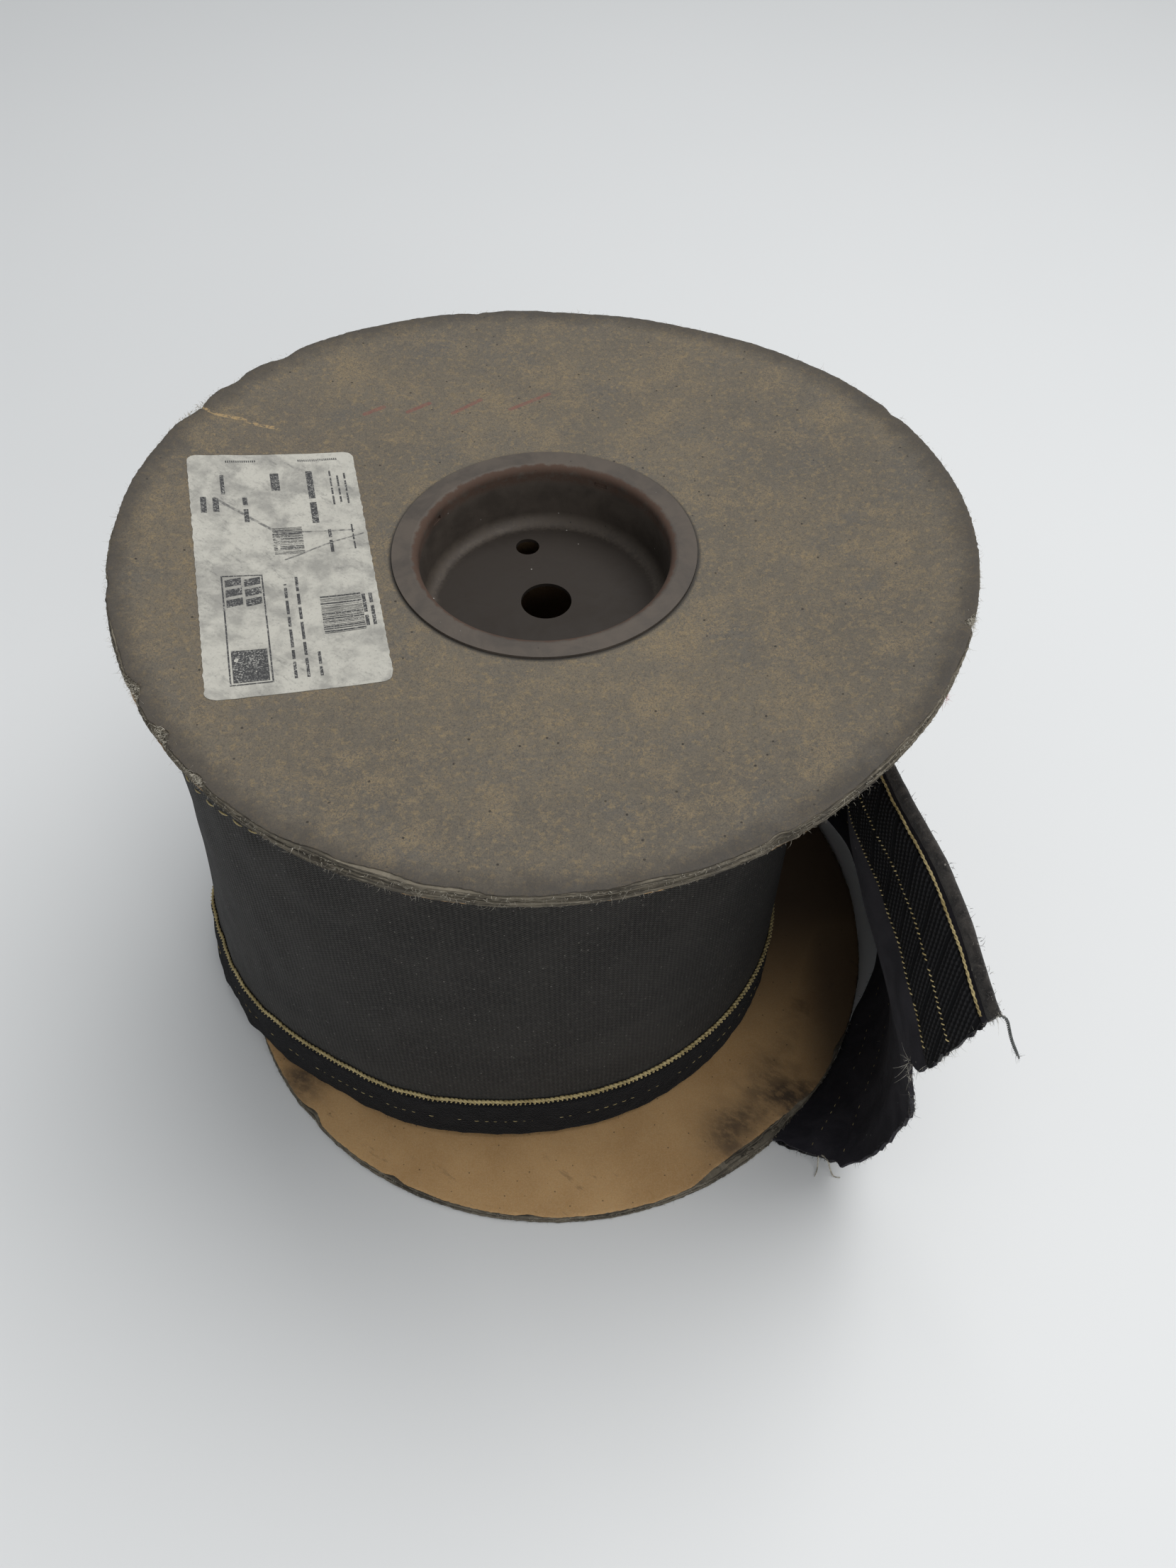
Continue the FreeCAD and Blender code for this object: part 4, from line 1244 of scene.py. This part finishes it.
# from, to and thickness of each strip; heights of the seams
STRIP_LOOP = (1.5, 27.4, 1.5)
STRIP_HOOK = (161.0, 186.6, 1.35)
BINDING = (188.4, 193.0)
STRIP_STEP = 1.5              # along a strip, between two rows of points
SEAM_LOOP_THICK = 28.4
SEAM_LOOP_FINE = 13.7
SEAM_HOOK_LOW = 162.9
SEAM_HOOK_MIDDLE = 174.1
SEAM_HOOK_THICK = 187.5
INNERMOST = -(WOUND_R - CORE_R - 2.4) / LAYER * 360 / SPAN_DEG
OUTER_TURN = -12.3            # where the outermost wound turn starts, with its loop strip and seams


def cut_at(s, short=0.04):
    return float(cut_line(s)) - short


def cloth(glass, felt):
    """The whole woven cloth: every wound turn, the loose turn and the tail to its ragged cut."""
    inner = np.arange(INNERMOST, OUTER_TURN, 0.3)
    u = np.concatenate([inner, stations(OUTER_TURN, CUT_STATION, 2.3)])
    s = np.concatenate([np.linspace(0, 140, 44), np.linspace(142.5, 190.6, 22)])
    shape = ribbon(Shape(), to_cut(u, s, 0.012), s, -HALF_CLOTH, HALF_CLOTH, (0, 1, 1))
    piece = shape.piece("wrap_cloth", [glass, felt], "woven_glass",
                        ("wound_roll", "loose_turn_fabric", "tail_fabric"))
    ends = np.interp([INNERMOST, CUT_STATION], FINE_U, length_at(WIDTH / 2))
    return piece, float(ends[1] - ends[0])


def strip(name, material, slot, limits, first, side, nodes, seed, columns, pile):
    """A strip sewn on one face, its edges rounded and its pile uneven."""
    a, b, thick = limits
    t = np.linspace(0, 1, columns)
    t = 0.5 - 0.5 * np.cos(math.pi * t) * (0.25 + 0.75 * np.abs(np.cos(math.pi * t)) ** 0.3)
    s = a + (b - a) * t
    u = to_cut(stations(first, CUT_STATION, STRIP_STEP), s, 0.014, seed)
    edge = np.minimum(s - a, b - s)
    crown = thick * np.clip(0.45 + edge / 1.4 * 0.55, 0.45, 1.0) ** 0.8
    run = cloth_uv(u, s)
    uneven = pile * ripple(run, 14, 3, seed + 7) * np.clip(edge / 1.5, 0.3, 1)[None, :]
    top = HALF_CLOTH + crown[None, :] + uneven
    back = np.full(u.shape, HALF_CLOTH - 0.05)
    near, far = (back, top) if side > 0 else (-top, -back)
    shape = ribbon(Shape(), u, s, near, far)
    return shape.piece(name, [material], slot, nodes)


def binding(material):
    """The bound upper edge, a soft roll folded over the cloth along its whole length."""
    inner = np.arange(INNERMOST, OUTER_TURN, 0.3)
    u = np.concatenate([inner, stations(OUTER_TURN, cut_at(191, 0.0), 1.3)])
    sides = 14
    turn = np.arange(sides) * 2 * math.pi / sides
    middle_s = (BINDING[0] + BINDING[1]) / 2
    s = middle_s + (BINDING[1] - BINDING[0]) / 2 * np.sin(turn)
    order = np.argsort(s)
    spread = np.repeat(u[:, None], sides, 1)
    points = np.zeros(spread.shape + (3,))
    normals = np.zeros_like(points)
    sorted_points, sorted_normals = surface(spread, s[order])
    points[:, order], normals[:, order] = sorted_points, sorted_normals
    free = smooth_step(u, -11, 1)[:, None]
    run = np.interp(u, FINE_U, length_at(WIDTH))[:, None]
    uneven = 1 + 0.10 * free * ripple(np.stack([run + 0 * turn, 3 * np.cos(turn) + 0 * run], -1), 16, 3, 121)
    bulk = 1.35 + 0.12 * free
    offset = np.cos(turn)[None, :] * bulk * uneven
    shape = Shape()
    shape.tube(points + normals * offset[..., None], flip=True)
    return shape.piece("edge_roll", [material], "binding_tape", ("edge_binding",), sharp=80)


def seams(gold):
    """Every sewn seam: two thick twisted rows, and stitches showing on both faces."""
    loop_top = HALF_CLOTH + STRIP_LOOP[2]
    hook_top = HALF_CLOTH + STRIP_HOOK[2]
    pieces = []

    def piece(name, node, draw):
        shape = Shape()
        draw(shape)
        pieces.append(shape.piece(name, [gold], "thread", (node,), sharp=80))

    def loop_thick(shape):
        twisted(shape, SEAM_LOOP_THICK, HALF_CLOTH + 0.75, OUTER_TURN, cut_at(28), 3.3, 0.52, 0.50, 131)
        stitches(shape, SEAM_LOOP_THICK - 0.8, HALF_CLOTH + 1.15, OUTER_TURN, cut_at(28),
                 1.65, (1.5, 0.55, 0.7), 132, 58)
        stitches(shape, SEAM_LOOP_THICK, HALF_CLOTH, 0.0, cut_at(28), 3.3, (1.3, 0.20, 0.16), 133, 0, -1, 0.4)

    def loop_fine(shape):
        stitches(shape, SEAM_LOOP_FINE, loop_top - 0.08, OUTER_TURN, cut_at(14),
                 3.4, (1.9, 0.26, 0.24), 134, 0, 1, 0.14)
        stitches(shape, SEAM_LOOP_FINE, HALF_CLOTH, 0.0, cut_at(14), 3.4, (1.3, 0.20, 0.16), 135, 0, -1, 0.4)

    def hook_low(shape):
        stitches(shape, SEAM_HOOK_LOW, hook_top - 0.05, 0.0, cut_at(163),
                 1.5, (1.6, 0.38, 0.42), 136, -52, -1, 0.04)
        stitches(shape, SEAM_HOOK_LOW - 0.9, HALF_CLOTH, OUTER_TURN, cut_at(163),
                 6.0, (4.0, 0.50, 0.55), 137, 0, 1, 0.03)

    def hook_middle(shape):
        stitches(shape, SEAM_HOOK_MIDDLE, hook_top - 0.05, 0.0, cut_at(174),
                 1.5, (1.6, 0.38, 0.42), 138, -52, -1, 0.04)
        stitches(shape, SEAM_HOOK_MIDDLE, HALF_CLOTH, OUTER_TURN, cut_at(174),
                 6.0, (4.0, 0.45, 0.5), 139, 0, 1, 0.05)

    def hook_thick(shape):
        twisted(shape, SEAM_HOOK_THICK, HALF_CLOTH + 0.85, 0.0, cut_at(187), 3.4, 0.28, 0.28, 140, -1)
        stitches(shape, SEAM_HOOK_THICK, HALF_CLOTH, OUTER_TURN, cut_at(187),
                 4.4, (3.2, 0.45, 0.5), 141, 0, 1, 0.05)

    piece("thick_seam_low", "loop_seam_upper", loop_thick)
    piece("fine_seam_low", "loop_seam_middle", loop_fine)
    piece("hook_seam_1", "hook_seam_lower", hook_low)
    piece("hook_seam_2", "hook_seam_middle", hook_middle)
    piece("thick_seam_high", "hook_seam_upper", hook_thick)
    return pieces


def fuzz(dark, pale):
    """Nap and stray fibres: along the bound edge, the pile's foot and the cut."""
    rng = np.random.default_rng(151)
    nap, lint = Shape(), Shape()

    def along_edge(shape, count, s_range, first, offsets, up, out, size, seed):
        u = stations(first, cut_at(np.mean(s_range), 0.0), 1.0)
        u = u[rng.integers(0, len(u), count)] + rng.random(count) * 0.02
        slots = rng.integers(0, 6, count)
        heights = np.linspace(*s_range, 6)
        points, normals = surface(np.repeat(u[:, None], 6, 1), heights)
        pick = np.arange(count)
        ahead, _ = surface((u + 0.02)[:, None], heights[:1])
        root, normal = points[pick, slots], normals[pick, slots]
        along = unit(ahead[:, 0] - points[:, 0])
        across = unit(np.cross(normal, along)) * -1
        face = rng.normal(size=(count, 1))
        root = root + normal * (np.clip(face, -1, 1) * offsets)
        way = across * up + normal * face * out + along * rng.normal(size=(count, 1)) * 0.8
        way = way + rng.normal(size=(count, 3)) * 0.25
        lengths = np.minimum(size[0] + rng.gamma(1.5, size[1], count), size[2])
        hairs(shape, root, way, lengths, size[3], seed, 0.5)

    along_edge(nap, 3600, (190.8, 193.2), -11.0, 1.3, 1, 1.1, (0.35, 0.40, 2.4, 0.085), 152)
    along_edge(lint, 620, (189.4, 193.2), -11.0, 1.4, 1, 1.2, (0.4, 0.65, 4.0, 0.045), 153)
    along_edge(nap, 1900, (0.2, 2.2), -11.0, 1.2, -1, 1.3, (0.3, 0.30, 1.5, 0.085), 154)
    along_edge(lint, 90, (1.0, 27.0), -11.0, 1.9, -1, 2.2, (0.5, 0.4, 2.0, 0.045), 155)

    def at_cut(shape, count, s_range, size, seed, spread=0.5):
        s = s_range[0] + (s_range[1] - s_range[0]) * rng.random(count)
        u = np.array([cut_at(v, 0.01) for v in s])
        for k in range(count):
            point, normal = surface(np.array([[u[k]]]), s[k:k + 1])
            behind, _ = surface(np.array([[u[k] - 0.03]]), s[k:k + 1])
            point, normal, behind = point[0, 0], normal[0, 0], behind[0, 0]
            way = unit(point - behind) + rng.normal(size=3) * spread
            root = point + normal * rng.uniform(-1.0, 1.0)
            length = np.array([size[0] + rng.gamma(1.4, size[1])])
            hairs(shape, root[None], way[None], length, size[2], seed + k, 0.6)

    at_cut(nap, 620, (0, 193), (0.5, 0.55, 0.09), 2000)
    at_cut(lint, 130, (155, 193), (0.6, 0.9, 0.06), 4000, 0.7)
    at_cut(lint, 45, (140, 152), (1.0, 1.3, 0.07), 6000, 1.1)
    at_cut(lint, 60, (0, 140), (0.4, 0.7, 0.05), 8000, 0.7)
    return [nap.piece("nap_fibres", [dark], "binding_tape"), lint.piece("lint_fibres", [pale], "thread")]


def loose_threads(dark, pale, pink):
    """Three threads pulled out of the cut end, and a scrap of lint under the flange's rim."""
    shape = Shape()
    corner, _ = surface(np.array([[cut_at(190, 0.02)]]), np.array([190.0]))
    x, y, z = corner[0, 0]
    thread(shape, [(x - 1, y + 1.5, z), (x + 2.4, y - 0.4, z + 0.6), (x + 4.6, y - 0.8, z - 2.2),
                   (x + 6.6, y - 1.2, z - 8), (x + 9.4, y - 1.4, z - 15),
                   (x + 12.6, y - 1.6, z - 22)], 0.42, 161)
    for k, (dx, dz) in enumerate(((11.2, -19.5), (12.0, -21), (9.0, -14.5))):
        start = np.array([(x + dx, y - 1.5, z + dz)])
        ways = np.random.default_rng(162 + k).normal(size=(5, 3)) + (0.4, 0, -0.6)
        hairs(shape, np.repeat(start, 5, 0), ways,
              np.array([1.6, 2.2, 1.2, 2.8, 1.8]), 0.07, 163 + k, 0.5)
    foot, _ = surface(np.array([[cut_at(20, 0.02)]]), np.array([20.0]))
    a, b, c = foot[0, 0]
    tail_shape = Shape()
    thread(tail_shape, [(a - 1, b + 1, c), (a + 1.2, b - 1.5, c), (a + 3.4, b - 4, 1.0),
                        (a + 6.4, b - 5.2, 0.45)], 0.28, 165)
    thread(tail_shape, [(a - 2, b + 0.5, c), (a - 2.0, b - 2.0, 1.2), (a - 3.2, b - 4.4, 0.45)], 0.24, 166)
    lint = Shape()
    angle = math.radians(-33)
    under_rim = BOARD_TOP - FLANGE_T + float(warp(RIM_R * math.cos(angle), RIM_R * math.sin(angle)))
    spot = np.array([(RIM_R - 1.2) * math.cos(angle), (RIM_R - 1.2) * math.sin(angle), under_rim - 0.3])
    rng = np.random.default_rng(167)
    roots = spot + rng.normal(size=(60, 3)) * (0.9, 0.9, 0.35)
    ways = rng.normal(size=(60, 3)) + (0.2, -0.3, -0.4)
    hairs(lint, roots, ways, 1.2 + rng.random(60) * 1.8, 0.10, 168, 1.2)
    return [shape.piece("corner_thread", [dark], "thread"),
            tail_shape.piece("foot_threads", [pale], "thread"),
            lint.piece("pink_lint", [pink], "thread")]


# ---------------------------------------------------------------- camera, light, floor

CAMERA_PLACE = (0.0, -0.3064, 0.4799)
CAMERA_PITCH = 51.263         # degrees, as the two below
CAMERA_YAW = 2.482
CAMERA_ROLL = 0.158
SENSOR_WIDTH = 36.0
LENS = 30.51


def camera():
    """The photograph's view of it: above and in front, looking down at the spool."""
    data = bpy.data.cameras.new("view")
    data.sensor_width = SENSOR_WIDTH
    data.lens = LENS
    data.clip_start, data.clip_end = 0.01, 30.0
    piece = bpy.data.objects.new("view", data)
    pitch, yaw, roll = [math.radians(v) for v in (CAMERA_PITCH, CAMERA_YAW, CAMERA_ROLL)]
    tilt = Matrix.Rotation(math.pi / 2 - pitch, 4, "X")
    turn = Matrix.Rotation(-yaw, 4, "Z") @ tilt @ Matrix.Rotation(roll, 4, "Z")
    piece.matrix_world = Matrix.Translation(CAMERA_PLACE) @ turn
    bpy.context.scene.collection.objects.link(piece)
    bpy.context.scene.camera = piece


def soft_light(name, place, target, size, power, colour=(1, 1, 1)):
    data = bpy.data.lights.new(name, "AREA")
    data.shape = "RECTANGLE"
    data.size, data.size_y = size
    data.energy = power
    data.color = colour
    piece = bpy.data.objects.new(name, data)
    way = np.array(target, float) - np.array(place, float)
    flat = math.hypot(way[0], way[1])
    tilt = Matrix.Rotation(math.atan2(flat, -way[2]), 4, "X")
    turn = Matrix.Rotation(math.atan2(way[0], -way[1]) + math.pi, 4, "Z") @ tilt
    piece.matrix_world = Matrix.Translation(place) @ turn
    bpy.context.scene.collection.objects.link(piece)


FLOOR_HALF = 4.0              # metres


def studio():
    world = bpy.data.worlds.new("studio")
    world.use_nodes = True
    world.node_tree.nodes["Background"].inputs["Color"].default_value = (0.93, 0.97, 1.0, 1.0)
    world.node_tree.nodes["Background"].inputs["Strength"].default_value = 0.37
    bpy.context.scene.world = world
    bpy.context.scene.view_settings.view_transform = "Standard"
    soft_light("overhead", (0.45, 0.22, 1.6), (0.0, 0.0, 0.1), (1.4, 1.1), 21.5)
    soft_light("front", (0.4, -1.4, 0.9), (0.0, 0.0, 0.1), (1.2, 0.8), 7)
    mesh = bpy.data.meshes.new("pale_floor")
    half = FLOOR_HALF
    corners = [(-half, -half, 0), (half, -half, 0), (half, half, 0), (-half, half, 0)]
    mesh.from_pydata(corners, [], [(0, 1, 2, 3)])
    mesh.materials.append(floor_finish())
    ground = bpy.data.objects.new("pale_floor", mesh)
    ground.location.z = -0.0001
    bpy.context.scene.collection.objects.link(ground)


def main():
    camera()
    studio()
    steel, paper_tube = hub_steel(), core_paper()
    for node, material in (("upper_hub_cup", steel), ("lower_hub_cup", steel), ("core_tube", paper_tube)):
        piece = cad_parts[node]
        for slot in piece.material_slots:
            slot.material = material
    board, kraft = chipboard(), kraft_inner()
    gold = thread_gold()
    flanges(kraft_outer(), kraft, board)
    lifted_plies(board)
    pale_fibre = fibre("pale_fibre", (0.20, 0.18, 0.14), (0.52, 0.48, 0.40))
    rim_fuzz(pale_fibre)
    label(label_paper())
    label_print(label_ink())

    wrap, wrap_length = cloth(woven_glass(), felt_back())
    loops, hooks = loop_tape(), hook_tape()
    pile = strip("loop_strip", loops, "loop_tape", STRIP_LOOP, OUTER_TURN, 1,
                 ("roll_loop_strip", "loose_turn_loop_strip", "tail_loop_strip"), 171, 16, 0.16)
    hook = strip("hook_strip", hooks, "hook_tape", STRIP_HOOK, 0.0, -1,
                 ("loose_turn_hook_strip", "tail_hook_strip"), 172, 14, 0.05)
    edge = binding(binding_tape())
    sewn = seams(gold)
    dark_fibre = fibre("dark_fibre", (0.012, 0.011, 0.011), (0.060, 0.055, 0.052))
    loose = fuzz(dark_fibre, fibre("lint_fibre", (0.22, 0.20, 0.15), (0.60, 0.57, 0.50)))
    grey_thread = fibre("grey_thread", (0.045, 0.050, 0.048), (0.130, 0.135, 0.130))
    pink_fibre = fibre("pink_fibre", (0.55, 0.26, 0.25), (0.80, 0.48, 0.47))
    loose += loose_threads(grey_thread, pale_fibre, pink_fibre)


main()
